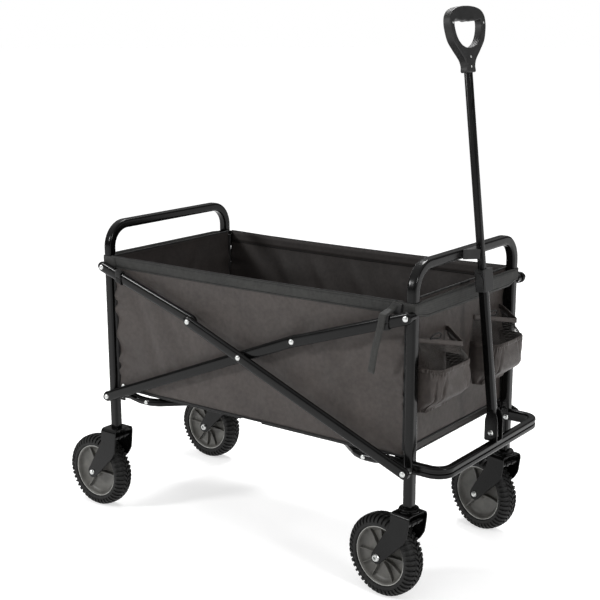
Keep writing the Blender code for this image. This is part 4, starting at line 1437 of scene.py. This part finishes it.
# ---- handle -------------------------------------------------------------------------------------------
@dataclass
class PullHandle:
    """The telescoping handle: its yoke, two square tubes, latch, grip and parking clip."""

    lower: float = 0.0175
    upper: float = 0.0135
    lower_top: float = 0.300
    upper_low: float = 0.240
    grip_low: float = 0.7166
    grip_top: float = 0.8426
    grip_width: float = 0.133
    grip_thick: float = 0.017
    sleeve_x: float = 0.00075
    sleeve_y: float = 0.0034
    ear: float = 3.5 * MM
    yoke_base: float = 0.2973

    @property
    def ear_in(self) -> float:
        """Inner face of the yoke's ears."""
        return self.lower / 2 + 1 * MM

    def in_place(self) -> Shape:
        """Starts a shape in the handle's own frame."""
        shape = Shape()
        shape.at = PLAN.handle_place()
        return shape

    def build_yoke(self) -> None:
        """Makes the yoke, folded from one strip, and its bolt."""
        low, tall = self.yoke_base, self.yoke_base + 0.0655
        outline = [(-0.0145, low), (0.0145, low), (0.0145, low + 0.044)]
        outline += arc((0, low + 0.054), 0.0115, 8, 172, 12) + [(-0.0145, low + 0.044)]
        middle, fold = self.ear_in + self.ear / 2, 4 * MM
        reach = tall - 1 * MM - low - fold
        heights = [low + fold + self.ear / 2 + reach * (1 - (1 - share) ** 1.6) for share in spread(0, 1, 14)]
        corner = arc((middle - fold, low + self.ear / 2 + fold), fold, 0, -90, 5)
        half = [(middle, min(z, tall - 0.2 * MM)) for z in reversed(heights)] + corner + [(0.0, low + self.ear / 2)]
        line = [(-y, z) for y, z in half] + [(y, z) for y, z in reversed(half[:-1])]
        shape = Shape()
        shape.at = Matrix.Translation((PLAN.handle_x, 0, 0))
        folded_strip(shape, line, outline, self.ear, 0.8 * MM)
        shape.piece("handle_yoke", [Finish.ENAMEL], "front_frame", ["handle_yoke"], "frame_paint")
        face = self.ear_in + self.ear
        shape = Shape()
        rivet(shape, PLAN.handle_x, PLAN.handle_z, 1, -face, face)
        shape.piece("yoke_bolt", [Finish.ZINC], "front_frame", ["yoke_bolt"], "zinc_hardware")

    def build_tubes(self) -> None:
        """Makes the lower tube, open at its top, and the upper tube with a channel in two faces."""
        outer = crowned(self.lower, self.lower, 5.0)
        inner = crowned(self.lower - 2.4 * MM, self.lower - 2.4 * MM, 8.0)
        levels = [(outer, -0.011), (outer, self.lower_top), (inner, self.lower_top), (inner, -0.011)]
        shape = self.in_place().tube(levels)
        shape.piece("handle_lower_tube", [Finish.ENAMEL], "handle", ["handle_lower_tube"], "frame_paint")
        half, wide, deep = self.upper / 2, 2.4 * MM, 0.9 * MM
        groove = [(wide, 0.0), (wide - 0.7 * MM, -deep), (0.7 * MM - wide, -deep), (-wide, 0.0)]
        corners = rounded(self.upper, self.upper, 2.2 * MM)
        section = corners[:5] + [(x, half + y) for x, y in groove] + corners[5:15]
        section += [(-x, -half - y) for x, y in groove] + corners[15:]
        shape = self.in_place()
        shape.loft([[(x, y, z) for x, y in section] for z in (self.upper_low, self.grip_low + 0.0285)])
        shape.piece("handle_upper_tube", [Finish.ENAMEL], "handle_top", ["handle_upper_tube"], "frame_paint")

    def button_outline(self, margin: float) -> list[Pair]:
        """Gives the five-sided outline of the latch button, grown by a margin."""
        half, tip_half, tip = 8.2 * MM + margin, 3 * MM, self.lower_top + 0.0255 + margin
        low, shoulder = self.lower_top - 0.005 - margin, self.lower_top + 0.014
        right = [(self.sleeve_x + half, low), (self.sleeve_x + half, shoulder), (self.sleeve_x + tip_half, tip)]
        return right + [(2 * self.sleeve_x - x, z) for x, z in reversed(right)]

    def build_latch(self) -> None:
        """Makes the latch's sleeve with the recess for its button, and the button."""
        low, high = self.lower_top - 0.012, self.lower_top + 0.0325
        outer = [(x + self.sleeve_x, y + self.sleeve_y) for x, y in rounded(0.0225, 0.0390, 0.0035)]
        wide, narrow = self.lower + 0.6 * MM, self.upper + 0.8 * MM
        step = self.lower_top + 0.3 * MM
        holes = [(rounded(narrow, narrow, 2 * MM), high), (rounded(narrow, narrow, 2 * MM), step)]
        holes += [(rounded(wide, wide, 2 * MM), step), (rounded(wide, wide, 2 * MM), low)]
        levels = [(outer, low), (outer, high)] + holes
        shape = self.in_place().tube(levels)
        sleeve = shape.piece("latch_sleeve", [Finish.BLACK_PLASTIC], "handle", ["latch_sleeve"], "black_plastic")
        carve(sleeve, self.in_place().prism(self.button_outline(0.5 * MM), -0.030, -0.0118))
        round_edges(sleeve, 1.3 * MM, 3)
        shape = self.in_place().prism(self.button_outline(0), -0.0171, -0.0143)
        for height in (0.0035, 0.0080, 0.0125):
            ridge = stadium(self.sleeve_x - 4.5 * MM, self.sleeve_x + 4.5 * MM, 0.8 * MM, 6)
            shape.prism([(x, z + self.lower_top + height) for x, z in ridge], -0.0175, -0.0160)
        shape.piece(
            "latch_button", [Finish.BLACK_PLASTIC], "latch_button", ["latch_button"], "black_plastic", bevel=0.5 * MM
        )

    def build_grip(self) -> None:
        """Makes the D grip with its waved finger edge, and the pins through it."""
        half, low, top = self.grip_width / 2 + 2.5 * MM, self.grip_low, self.grip_top
        side = [(0.0146, low), (0.0158, low + 0.012), (0.0215, low + 0.024), (half * 0.60, low + 0.042)]
        side += [(half * 0.86, low + 0.060), (half * 0.985, low + 0.082), (half, low + 0.098)]
        side += [(half * 0.93, low + 0.110), (half * 0.74, low + 0.1195), (half * 0.40, top - 0.0015), (0.0, top)]
        opening = [(0.0, low + 0.0470), (0.015, low + 0.0485), (0.031, low + 0.0545), (0.044, low + 0.066)]
        opening += [(0.0515, low + 0.081), (0.0535, low + 0.094), (0.0490, low + 0.1000)]
        opening += [(0.036, low + 0.0985), (0.024, low + 0.0975), (0.012, low + 0.0985), (0.0, low + 0.0965)]
        outline = smooth_loop(side + [(-y, z) for y, z in reversed(side[:-1])], 5)
        outline = [(y, max(z, low)) for y, z in outline]
        hole = smooth_loop(opening + [(-y, z) for y, z in reversed(opening[1:-1])], 5)
        thick = self.grip_thick / 2
        grip = self.in_place().prism(outline, -thick, thick, "X").piece(
            "handle_grip", [Finish.BLACK_PLASTIC], "handle_top", ["handle_grip"], "black_plastic"
        )
        carve(grip, self.in_place().prism(hole, -2 * thick, 2 * thick, "X"))
        round_edges(grip, 3.8 * MM, 5)
        pins = Shape()
        place = PLAN.handle_place()
        facing = tuple(place.to_3x3() @ Vector((1, 0, 0)))
        for y, z in ((-0.0600, 0.0945), (0.0600, 0.0945), (0, 0.0115), (0, 0.0300)):
            seat = place @ Vector((thick - 0.1 * MM, y, low + z))
            button_head(pins, tuple(seat), facing, 2.3 * MM, 1.1 * MM)
        pins.piece("grip_pins", [Finish.ZINC], "handle_top", slot="zinc_hardware")

    def build_clip(self) -> None:
        """Makes the open clip on the front bar that the upper tube rests in."""
        top_bar = PLAN.frame_top - PLAN.tube / 2
        face = PLAN.post_x + PLAN.tube / 2 + 0.3 * MM
        tube_x = PLAN.handle_x - math.tan(PLAN.lean) * (top_bar - PLAN.handle_z)
        half = self.upper / 2 + 1.2 * MM
        reach = tube_x + 3.5 * MM
        jaws = [(face, -0.034), (face, 0.018), (face + 0.004, 0.018), (reach, half + 2.5 * MM), (reach, half)]
        jaws += [(tube_x - half, half), (tube_x - half, -half), (reach, -half), (reach, -half - 2.5 * MM)]
        jaws += [(face + 0.005, -0.030)]
        shape = Shape().prism(jaws, top_bar - 0.0105, top_bar + 0.0095, "Z")
        shape.piece(
            "handle_clip", [Finish.BLACK_PLASTIC], "front_frame", ["handle_clip"], "black_plastic", bevel=1.0 * MM
        )

    def build(self) -> None:
        """Makes the whole handle."""
        self.build_yoke()
        self.build_tubes()
        self.build_latch()
        self.build_grip()
        self.build_clip()


# ---- fabric -------------------------------------------------------------------------------------------
def crumple(x: float, z: float, seed: float, size: float) -> float:
    """Gives the lie of cloth at a point: broad billows with finer ones that run mostly upright.

    Args:
        x: The place along the cloth.
        z: The height.
        seed: A number of the cloth's own.
        size: The height of the billows.

    Returns:
        The distance out of the plane.
    """
    broad = noise.noise(Vector((x * 7.0 + seed, z * 3.5, seed)))
    fine = noise.noise(Vector((x * 26.0 + z * 9.0, z * 5.0, seed + 5.0)))
    return size * (broad + 0.40 * fine)


# The long folds of each side: place along the top, lean, depth and half width in millimetres.
FOLDS = {
    "right": [(0.37, -1.0, 5.5, 26), (0.22, -0.8, 4.0, 24), (-0.36, 0.42, 5.0, 17), (-0.30, 0.55, 4.0, 17),
              (-0.10, 0.30, 3.0, 30), (0.06, -0.25, 2.6, 34)],
    "left": [(-0.25, 0.6, 5.5, 19), (-0.15, 0.6, 6.5, 19), (-0.04, 0.6, 5.5, 19), (0.07, 0.6, 4.0, 19),
             (0.20, 0.5, 4.0, 19)],
}


@dataclass
class SidePanel:
    """A side of the tub with its webbing, hem and piping."""

    side_name: str
    half_length: float = 0.3845
    ripple: float = 6.0 * MM
    band: float = 0.025
    keep: float = 0.2053

    @property
    def side(self) -> int:
        """-1 on the right and 1 on the left."""
        return SIDES[self.side_name]

    def out(self, x: float, z: float) -> float:
        """Gives the distance of the cloth from the middle of the wagon.

        Args:
            x: The place along the wagon.
            z: The height.

        Returns:
            The distance, always short of the scissor bars.
        """
        tall = PLAN.tub_top - PLAN.tub_bottom
        up = min(1.0, max(0.0, (z - PLAN.tub_bottom) / tall))
        loose = min(1.0, 4.2 * up * (1 - up) + 0.1)
        lie = crumple(x, z, 3.0 * self.side, self.ripple) * loose
        for end in (-1, 1):
            near = math.exp(-abs(end * self.half_length - x) / 0.030)
            wave = math.sin(z * 2 * math.pi / 0.052 + 9 * noise.noise(Vector((z * 14, end, self.side))))
            lie += near * 4.0 * MM * wave * loose
        for place, lean, size, wide in FOLDS[self.side_name]:
            offset = x - place - lean * (PLAN.tub_top - z)
            lie -= size * MM * math.exp(-((offset / (wide * MM)) ** 2)) * loose * (0.35 + 0.65 * up)
        lifted = smooth_step((up - 0.72) / 0.28)
        edge = 0.2075 + 0.0035 * smooth_step((abs(x) - 0.25) / 0.12)
        flat = PLAN.tub_side + lie
        return min(flat + (edge - flat) * lifted, 0.2128)

    def top(self, x: float) -> float:
        """Gives the height of the top edge, which sags between the posts."""
        return PLAN.tub_top - 3.0 * MM * (1 - (x / self.half_length) ** 2)

    def finish_soft(self, piece: bpy.types.Object) -> None:
        """Gives a piece a mesh of its own."""
        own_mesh(piece)

    def strip(self, name: str, finish: Finish, levels: Sequence[float], out: float, thick: float) -> bpy.types.Object:
        """Makes a strip that follows the panel.

        Args:
            name: The piece's name.
            finish: Its finish.
            levels: Distances down from the top edge.
            out: How far it stands off the panel.
            thick: Its thickness.

        Returns:
            The piece.
        """
        rings = []
        for level in levels:
            ring = []
            for step in range(97):
                x = -self.half_length + 2 * self.half_length * step / 96
                z = self.top(x) - level
                ring.append((x, self.side * (self.out(x, z) + out), z))
            rings.append(ring)
        piece = Shape().loft(rings, closed=False).piece(
            f"{name}_{self.side_name}", [finish], "rear_frame", slot="tub_fabric", thickness=thick
        )
        return piece

    def build_panel(self) -> None:
        """Makes the panel's cloth, which turns in under the tub along its bottom edge."""
        turned = []
        for step in range(141):
            x = -self.half_length + 2 * self.half_length * step / 140
            inner = 0.1958 + 0.0065 * smooth_step((abs(x) - 0.215) / 0.020)
            turned.append((x, self.side * inner, PLAN.tub_bottom - 1.1 * MM))
        rings = [turned]
        for row in range(45):
            ring = []
            for step in range(141):
                x = -self.half_length + 2 * self.half_length * step / 140
                z = PLAN.tub_bottom + (self.top(x) - PLAN.tub_bottom) * row / 44
                ring.append((x, self.side * self.out(x, z), z))
            rings.append(ring)
        node = f"side_panel_{self.side_name}"
        piece = Shape().loft(rings, closed=False).piece(
            node, [Finish.CANVAS, Finish.DARK_INSIDE], "rear_frame", [node], "tub_fabric", thickness=1.1 * MM, sharp=180
        )
        self.finish_soft(piece)

    def build_edges(self) -> None:
        """Makes the webbing band, its seams, the hem inside and the piping along the bottom."""
        band = self.strip("side_band", Finish.WEBBING, [-0.8 * MM, 8 * MM, 17 * MM, self.band], 1.35 * MM, 1.3 * MM)
        hem = self.strip("side_hem", Finish.DARK_INSIDE, [-0.4 * MM, 8 * MM, 17 * MM, 26 * MM], -1.4 * MM, 1.0 * MM)
        for piece in (band, hem):
            self.finish_soft(piece)
        edges = (("top_binding", Finish.BINDING, 0.0, 2.4 * MM, 1.8 * MM, 0.2 * MM),
                 ("band_seam", Finish.BINDING, 3.0 * MM, 0.5 * MM, 0.4 * MM, 2.1 * MM),
                 ("lower_band_seam", Finish.BINDING, 22.2 * MM, 0.5 * MM, 0.4 * MM, 2.1 * MM),
                 ("hem_seam", Finish.BINDING, 24.0 * MM, 0.6 * MM, 0.4 * MM, -2.1 * MM),
                 ("bottom_piping", Finish.BINDING, None, 2.6 * MM, 2.6 * MM, 0.4 * MM))
        for name, finish, level, wide, tall, out in edges:
            path = []
            for step in range(97):
                x = -self.half_length + 2 * self.half_length * step / 96
                z = PLAN.tub_bottom + 1 * MM if level is None else self.top(x) - level
                path.append((x, self.side * (self.out(x, z) + out), z))
            section = [(wide * u, tall * v) for u, v in circle(1.0, 10)]
            piece = Shape().sweep(path, (0, 0, 1), section).piece(
                f"{name}_{self.side_name}", [finish], "rear_frame", slot="tub_fabric"
            )
            self.finish_soft(piece)

    def build(self) -> None:
        """Makes the whole side."""
        self.build_panel()
        self.build_edges()


@dataclass
class EndPanel:
    """An end of the tub, with the webbing that wraps its frame's posts."""

    end_name: str
    half_width: float = 0.1995
    front_bottom: float = 0.316
    band: float = 0.025

    @property
    def end(self) -> int:
        """-1 at the rear and 1 at the front."""
        return ENDS[self.end_name]

    def out(self, y: float, z: float) -> float:
        """Gives the distance of the cloth from the middle of the wagon.

        Args:
            y: The place across the wagon.
            z: The height.

        Returns:
            The distance along X.
        """
        up = min(1.0, max(0.0, (z - PLAN.tub_bottom) / (PLAN.tub_top - PLAN.tub_bottom)))
        loose = min(1.0, 4.2 * up * (1 - up) + 0.1)
        lie = crumple(y, z, 11.0 * self.end, 2.8 * MM)
        near = math.exp(-abs(self.half_width - abs(y)) / 0.026)
        lie += near * 2.0 * MM * math.sin(z * 2 * math.pi / 0.047 + 4 * y)
        for place, size in ((-0.13, 4.0), (-0.03, 3.0), (0.09, 4.0)):
            offset = y - place + 0.45 * (PLAN.tub_top - z)
            lie += size * MM * math.exp(-((offset / 0.016) ** 2)) * smooth_step((up - 0.35) / 0.3)
        lifted = smooth_step((up - 0.80) / 0.20)
        flat = PLAN.tub_end + lie * loose
        return flat + (0.3875 - flat) * lifted

    def build_panel(self) -> None:
        """Makes the panel's cloth."""
        low = PLAN.tub_bottom if self.end < 0 else self.front_bottom
        across = [-self.half_width + 2 * self.half_width * step / 80 for step in range(81)]
        rings = [[(self.end * 0.3820, y, low - 0.8 * MM) for y in across]]
        for row in range(45):
            z = low + (PLAN.tub_top - low) * row / 44
            rings.append([(self.end * self.out(y, z), y, z) for y in across])
        node = f"{self.end_name}_panel"
        piece = Shape().loft(rings, closed=False).piece(
            node, [Finish.CANVAS, Finish.DARK_INSIDE], f"{self.end_name}_frame", [node], "tub_fabric", thickness=1.1 * MM,
            sharp=180,
        )

    def build_band(self) -> None:
        """Makes the webbing across the end, which goes round the outside of both posts."""
        x, y, z = PLAN.post_x + PLAN.tube / 2 + 1.4 * MM, PLAN.post_face + 1.2 * MM, PLAN.tub_top - self.band / 2
        route = [(self.end * 0.372, -y, z), (self.end * x, -y, z), (self.end * x, y, z), (self.end * 0.372, y, z)]
        path = []
        for point in fillet(route, 4 * MM, 6):
            if path and (point - path[-1]).length > 0.02:
                count = int((point - path[-1]).length / 0.01)
                path += [path[-1].lerp(point, step / count) for step in range(1, count)]
            path.append(point)
        rings = []
        for share in (-0.5, -0.25, 0.0, 0.25, 0.5):
            ring = []
            for point in path:
                wave = 0.5 * MM * noise.noise(Vector((point.y * 20, point.x * 20, share)))
                taller = 5.0 * MM * smooth_step((0.198 - abs(point.y)) / 0.03)
                tall = self.band + 2 * taller
                ring.append((point.x + self.end * wave, point.y, point.z + share * tall - 0.6 * taller))
            rings.append(ring)
        shape = Shape().loft(rings, closed=False)
        piece = shape.piece(
            f"{self.end_name}_band", [Finish.WEBBING], f"{self.end_name}_frame", slot="tub_fabric", thickness=1.3 * MM
        )
        for level, name in ((self.band / 2 - 3 * MM, "upper"), (3 * MM - self.band / 2, "lower")):
            seam = []
            for point in path:
                taller = 5.0 * MM * smooth_step((0.198 - abs(point.y)) / 0.03)
                height = point.z + level * (1 + 2 * taller / self.band) - 0.6 * taller
                seam.append((point.x + self.end * 0.9 * MM * (abs(point.y) < 0.21), point.y, height))
            section = [(0.5 * MM * u, 0.35 * MM * v) for u, v in circle(1.0, 8)]
            Shape().sweep(seam, (0, 0, 1), section).piece(
                f"{self.end_name}_{name}_seam", [Finish.BINDING], f"{self.end_name}_frame", slot="tub_fabric"
            )

    def build_bindings(self) -> None:
        """Makes the piping along the bottom, the hem along the top and the upright bindings at the corners."""
        low = PLAN.tub_bottom if self.end < 0 else self.front_bottom
        body = f"{self.end_name}_frame"
        for name, z, wide in (("bottom_piping", low + 1 * MM, 2.6), ("top_binding", PLAN.tub_top, 2.2)):
            path = []
            for step in range(61):
                y = -self.half_width + 2 * self.half_width * step / 60
                path.append((self.end * (self.out(y, z) + 0.3 * MM), y, z))
            section = [(wide * MM * u, wide * MM * v) for u, v in circle(1.0, 10)]
            Shape().sweep(path, (0, 0, 1), section).piece(
                f"{self.end_name}_{name}", [Finish.BINDING], body, slot="tub_fabric"
            )
        for side_name, side in SIDES.items():
            path = []
            for step in range(41):
                z = low + (PLAN.tub_top - 8 * MM - low) * step / 40
                wave = 1.3 * MM * noise.noise(Vector((z * 22, side * 3.0, self.end * 5.0)))
                path.append((self.end * (0.3862 + wave), side * (0.2008 + 0.5 * wave), z))
            section = [(4.4 * MM * u, 4.0 * MM * v) for u, v in circle(1.0, 12)]
            Shape().sweep(path, (1, 0, 0), section).piece(
                f"{self.end_name}_corner_binding_{side_name}", [Finish.BINDING], body, slot="tub_fabric"
            )

    def build(self) -> None:
        """Makes the whole end."""
        self.build_panel()
        self.build_band()
        self.build_bindings()


@dataclass
class CupPocket:
    """A drink pocket: a gathered pouch, a net above it, a hem, and a drawcord loop."""

    side_name: str
    middle: float = 0.115
    half_top: float = 0.0585
    half_low: float = 0.0670
    reach: float = 0.0640
    bottom: float = 0.3855
    waist: float = 0.476
    net_top: float = 0.5205
    top: float = 0.5290

    @property
    def side(self) -> int:
        """-1 on the right and 1 on the left."""
        return SIDES[self.side_name]

    def place(self, share: float, z: float, out: float = 0.0) -> Point:
        """Gives a point on the pocket's wall.

        Args:
            share: The place round the wall, from 0 at one edge of the panel to 1 at the other.
            z: The height.
            out: How far the point stands off the wall.

        Returns:
            The point.
        """
        back = PLAN.tub_end + 2.5 * MM
        narrow = smooth_step((z - 0.440) / (self.top - 0.440))
        half = self.half_low + (self.half_top - self.half_low) * narrow
        gather = smooth_step((z - self.bottom) / 0.040)
        half *= 0.76 + 0.24 * gather
        deep = self.reach * (0.36 + 0.64 * gather) * (1.0 - 0.06 * narrow) + out
        angle = math.pi * (share - 0.5)
        y = (half + out) * math.copysign(abs(math.sin(angle)) ** 0.42, math.sin(angle))
        boxed = max(0.0, math.cos(angle)) ** 0.30
        past = 0.5 + 0.5 * y / (half + out)
        slack = min(past / 0.74, (1 - past) / 0.26)
        open_share = smooth_step((z - 0.478) / 0.040)
        x = back + deep * (boxed + (0.95 * slack - boxed) * 0.85 * open_share)
        z += open_share * (7 * MM - 17 * MM * slack)
        return (x, self.side * self.middle + y, z)

    def pouch_lie(self, share: float, z: float) -> float:
        """Gives how far the pouch's cloth stands in or out, from its creases and gathers.

        Args:
            share: The place round the pocket, from 0 to 1.
            z: The height.

        Returns:
            The distance in metres, which is 0 at both ends of the wall.
        """
        up = (z - self.bottom) / (self.waist - self.bottom)
        lie = 3.4 * MM * noise.noise(Vector((share * 6.5 + 3 * self.side, z * 26, self.side)))
        lie += 2.2 * MM * noise.noise(Vector((share * 15 + z * 40, z * 14, 7 + self.side)))
        for middle, lean, size in ((0.36, 1.4, 4.0), (0.60, -1.7, 4.6), (0.78, 0.7, 3.0), (0.18, 0.5, 3.0)):
            offset = share - middle - lean * (z - 0.44)
            lie -= size * MM * math.exp(-((offset / 0.028) ** 2)) * smooth_step(4 * up * (1 - up))
        gathers = math.sin(share * 2 * math.pi * 17) * 1.3 * MM
        lie += gathers * (smooth_step((up - 0.80) / 0.20) + smooth_step((0.22 - up) / 0.22))
        return lie * smooth_step(min(share, 1 - share) / 0.08)

    def wall(self, levels: Sequence[float], out: float, crease: bool, columns: int = 96) -> Shape:
        """Makes an open sheet round the pocket.

        Args:
            levels: The heights of its rows.
            out: How far it stands off the pouch.
            crease: Whether it follows the pouch's creases and gathers.
            columns: How many faces it has round the pocket.

        Returns:
            The sheet.
        """
        rings = []
        for z in levels:
            ring = []
            for share in spread(0, 1, columns):
                ring.append(self.place(share, z, out + (self.pouch_lie(share, z) if crease else 0.0)))
            rings.append(ring)
        return Shape().loft(rings, closed=False)

    def build_net(self) -> bpy.types.Object:
        """Makes the net from crossing yarns, as real mesh."""
        columns, rows = 64, 15
        shape = Shape()
        knots = {}
        for column in range(columns + 1):
            for row in range(rows + 1):
                if (column + row) % 2 == 0:
                    z = self.waist + (self.net_top - self.waist) * row / rows
                    sag = 1.6 * MM * noise.noise(Vector((column * 0.21, row * 0.2, self.side)))
                    knots[column, row] = shape.mesh.verts.new(self.place(column / columns, z, sag - 1 * MM))
        for column in range(columns + 1):
            for row in range(rows + 1):
                if (column + row) % 2:
                    around = [(column - 1, row), (column, row - 1), (column + 1, row), (column, row + 1)]
                    corners = [knots[key] for key in around if key in knots]
                    if len(corners) > 2:
                        shape.mesh.faces.new(corners)
        net = shape.piece(f"pocket_net_{self.side_name}", [Finish.NET], "front_frame", slot="tub_fabric")
        yarn = net.modifiers.new("yarn", "WIREFRAME")
        yarn.thickness, yarn.use_even_offset = 0.9 * MM, False
        return net

    def build_loop(self) -> None:
        """Makes the drawcord's loop, which stands out of the hem and goes back into it."""
        corners = []
        base = Vector(self.place(0.40, self.top + 0.5 * MM, 1.5 * MM))
        rise = [(0, 0, -2), (2, 2, 4), (9, 5, 8), (19, 7, 9), (28, 7, 6)]
        for u, out, up in rise + [(31, 6, 1), (27, 5, -2.5), (16, 4, -1.5), (6, 2, 0), (2, 0, -2)]:
            corners.append(base + Vector((out * MM, u * MM, up * MM)))
        path = []
        for a, b, c, d in zip([corners[0]] + corners, corners, corners[1:], corners[2:] + [corners[-1]]):
            path += [spline(a, b, c, d, step / 4) for step in range(4)]
        path.append(corners[-1])
        piece = Shape().sweep(path, (1, 0, 0.2), circle(1.5 * MM, 10)).piece(
            f"drawcord_{self.side_name}", [Finish.BINDING], "front_frame", slot="tub_fabric"
        )

    def build(self) -> None:
        """Makes the whole pocket."""
        node = f"cup_pocket_{self.side_name}"
        levels = spread(self.bottom, self.waist, 36)
        pouch = self.wall(levels, 0.0, True, 160).piece(
            node, [Finish.CANVAS], "front_frame", [node], "tub_fabric", thickness=1.0 * MM, sharp=180
        )
        middle = len(levels) // 2
        width = path_length([Vector(self.place(share, levels[middle])) for share in spread(0, 1, 60)])
        net = self.build_net()
        hem_levels = [self.net_top - 1 * MM, self.net_top + 3 * MM, self.net_top + 7 * MM, self.top]
        hem = self.wall(hem_levels, 0.3 * MM, False).piece(
            f"pocket_hem_{self.side_name}", [Finish.CANVAS], "front_frame", slot="tub_fabric", thickness=2.2 * MM
        )
        rings = []
        for row in range(5):
            z = self.waist - 4 * MM + 8 * MM * row / 4
            ring = []
            for step in range(301):
                share = step / 300
                pucker = 1.0 * MM * math.sin(share * 2 * math.pi * 34) * math.sin(math.pi * row / 4)
                ring.append(self.place(share, z, 1.2 * MM + pucker))
            rings.append(ring)
        elastic = Shape().loft(rings, closed=False).piece(
            f"pocket_elastic_{self.side_name}", [Finish.CANVAS], "front_frame", slot="tub_fabric",
            thickness=1.0 * MM, sharp=180,
        )
        self.build_loop()


@dataclass
class TieStrap:
    """Webbing straps on each side: a loop over each link, and a free tail at the front."""

    side_name: str
    width: float = 0.017

    @property
    def side(self) -> int:
        """-1 on the right and 1 on the left."""
        return SIDES[self.side_name]

    def ribbon(
        self, name: str, line: Sequence[Point], across: Vector, body: str, wide: float, finish: Finish
    ) -> None:
        """Makes a flat strap along a line.

        Args:
            name: The piece's name.
            line: The points of its middle line.
            across: The direction of its width.
            body: The body that it rides on.
            wide: Its width.
            finish: Its finish.
        """
        path = fillet(line, 5 * MM, 5)
        fine = [path[0]]
        for point in path[1:]:
            count = max(1, int((point - fine[-1]).length / 0.006))
            start = fine[-1]
            fine += [start.lerp(point, step / count) for step in range(1, count + 1)]
        rings = []
        for point in fine:
            sway = Vector((0, self.side * (0.35 * MM * noise.noise(point * 60)), 0))
            rings.append([point + across * wide * share + sway for share in (-0.5, -0.2, 0.2, 0.5)])
        piece = Shape().loft(rings, closed=False).piece(
            f"{name}_{self.side_name}", [finish], body, slot="tub_fabric", thickness=1.3 * MM
        )

    def loop_path(self, x: float, z: float, top: float, low: float, inner: float, outer: float) -> list[Point]:
        """Gives the path of a loop that goes once round a link.

        Args:
            x: Its place along the wagon.
            z: The height of the link's middle.
            top: The height of its upper run.
            low: The height of its lower run.
            inner: How far out its inner face is.
            outer: How far out its outer face is.

        Returns:
            The corners, which begin and end half way up the outer face.
        """
        turns = [(outer, z), (outer, top), (inner, top), (inner, low), (outer, low), (outer, z - 1 * MM)]
        return [(x, self.side * y, height) for y, height in turns]

    def build(self) -> None:
        """Makes the straps and the hook."""
        side, outer = self.side, PLAN.layer(1) + PLAN.bar_thick / 2 + 1.6 * MM
        inner = PLAN.layer(1) - PLAN.bar_thick / 2 - 1.2 * MM
        slope = (PLAN.pivot_top - PLAN.link_z) / (PLAN.pivot_x - PLAN.link_x)
        x = 0.361
        z = PLAN.link_z + slope * (x - PLAN.link_x)
        lean = Vector((1, 0, slope)).normalized()
        top, low = z + 14.0 * MM, z - 14.0 * MM
        loop = self.loop_path(x, z, top, low, inner, outer)
        self.ribbon("link_loop", loop, lean, f"front_link_{self.side_name}", self.width, Finish.BINDING)
        tail = [(0.3720, side * 0.2150, PLAN.tub_top - 1 * MM), (0.3640, side * 0.2180, PLAN.tub_top - 14 * MM)]
        tail += [(0.3570, side * (outer + 1.4 * MM), top + 2 * MM), (0.3540, side * (outer + 2.4 * MM), z - 6 * MM)]
        tail += [(0.3420, side * (outer + 3.0 * MM), 0.520), (0.3330, side * (outer + 1.6 * MM), 0.4720)]
        self.ribbon("strap_tail", tail, Vector((1, 0, -0.20)).normalized(), "front_frame", 0.015, Finish.WEBBING)
        x = -0.352
        z = PLAN.link_z + slope * (-x - PLAN.link_x)
        lean = Vector((1, 0, -slope)).normalized()
        face_out = PLAN.layer(0) + PLAN.bar_thick / 2 + 1.4 * MM
        face_in = PLAN.layer(0) - PLAN.bar_thick / 2 - 0.9 * MM
        top, low = z + 14.6 * MM, z - 14.6 * MM
        loop = self.loop_path(x, z, top, low, face_in, face_out)
        self.ribbon("rear_link_loop", loop, lean, f"rear_link_{self.side_name}", self.width, Finish.BINDING)
        hook = Shape()
        flap = [(0.3650, 0.6090), (0.3850, 0.6090), (0.3810, 0.5800), (0.3690, 0.5740)]
        hook.prism(flap, side * 0.2138, side * 0.2168)
        name = f"strap_hook_{self.side_name}"
        hook.piece(name, [Finish.BLACK_PLASTIC], "front_frame", slot="black_plastic", bevel=1.2 * MM)


def main() -> None:
    """Builds the studio and the wagon."""
    logging.basicConfig(level=logging.INFO, format="%(name)s: %(message)s")
    Studio().build()
    EndFrame("rear_frame", -1).build()
    EndFrame("front_frame", 1).build()
    CrossTube().build()
    Bumper().build()
    for side_name in SIDES:
        ScissorSide(side_name).build()
    Floor().build()
    Wheel("rear_right", HubFace.THREE_RIBS, math.radians(-4)).build()
    Wheel("front_left", HubFace.THREE_RIBS, math.radians(-10)).build()
    Wheel("front_right", HubFace.NINE_RIBS, math.radians(92.5)).build()
    Wheel("rear_left", HubFace.NINE_RIBS, math.radians(24.5)).build()
    PullHandle().build()
    for side_name in SIDES:
        SidePanel(side_name).build()
        CupPocket(side_name).build()
        TieStrap(side_name).build()
    EndPanel("rear").build()
    EndPanel("front").build()


if __name__ == "__main__":
    main()
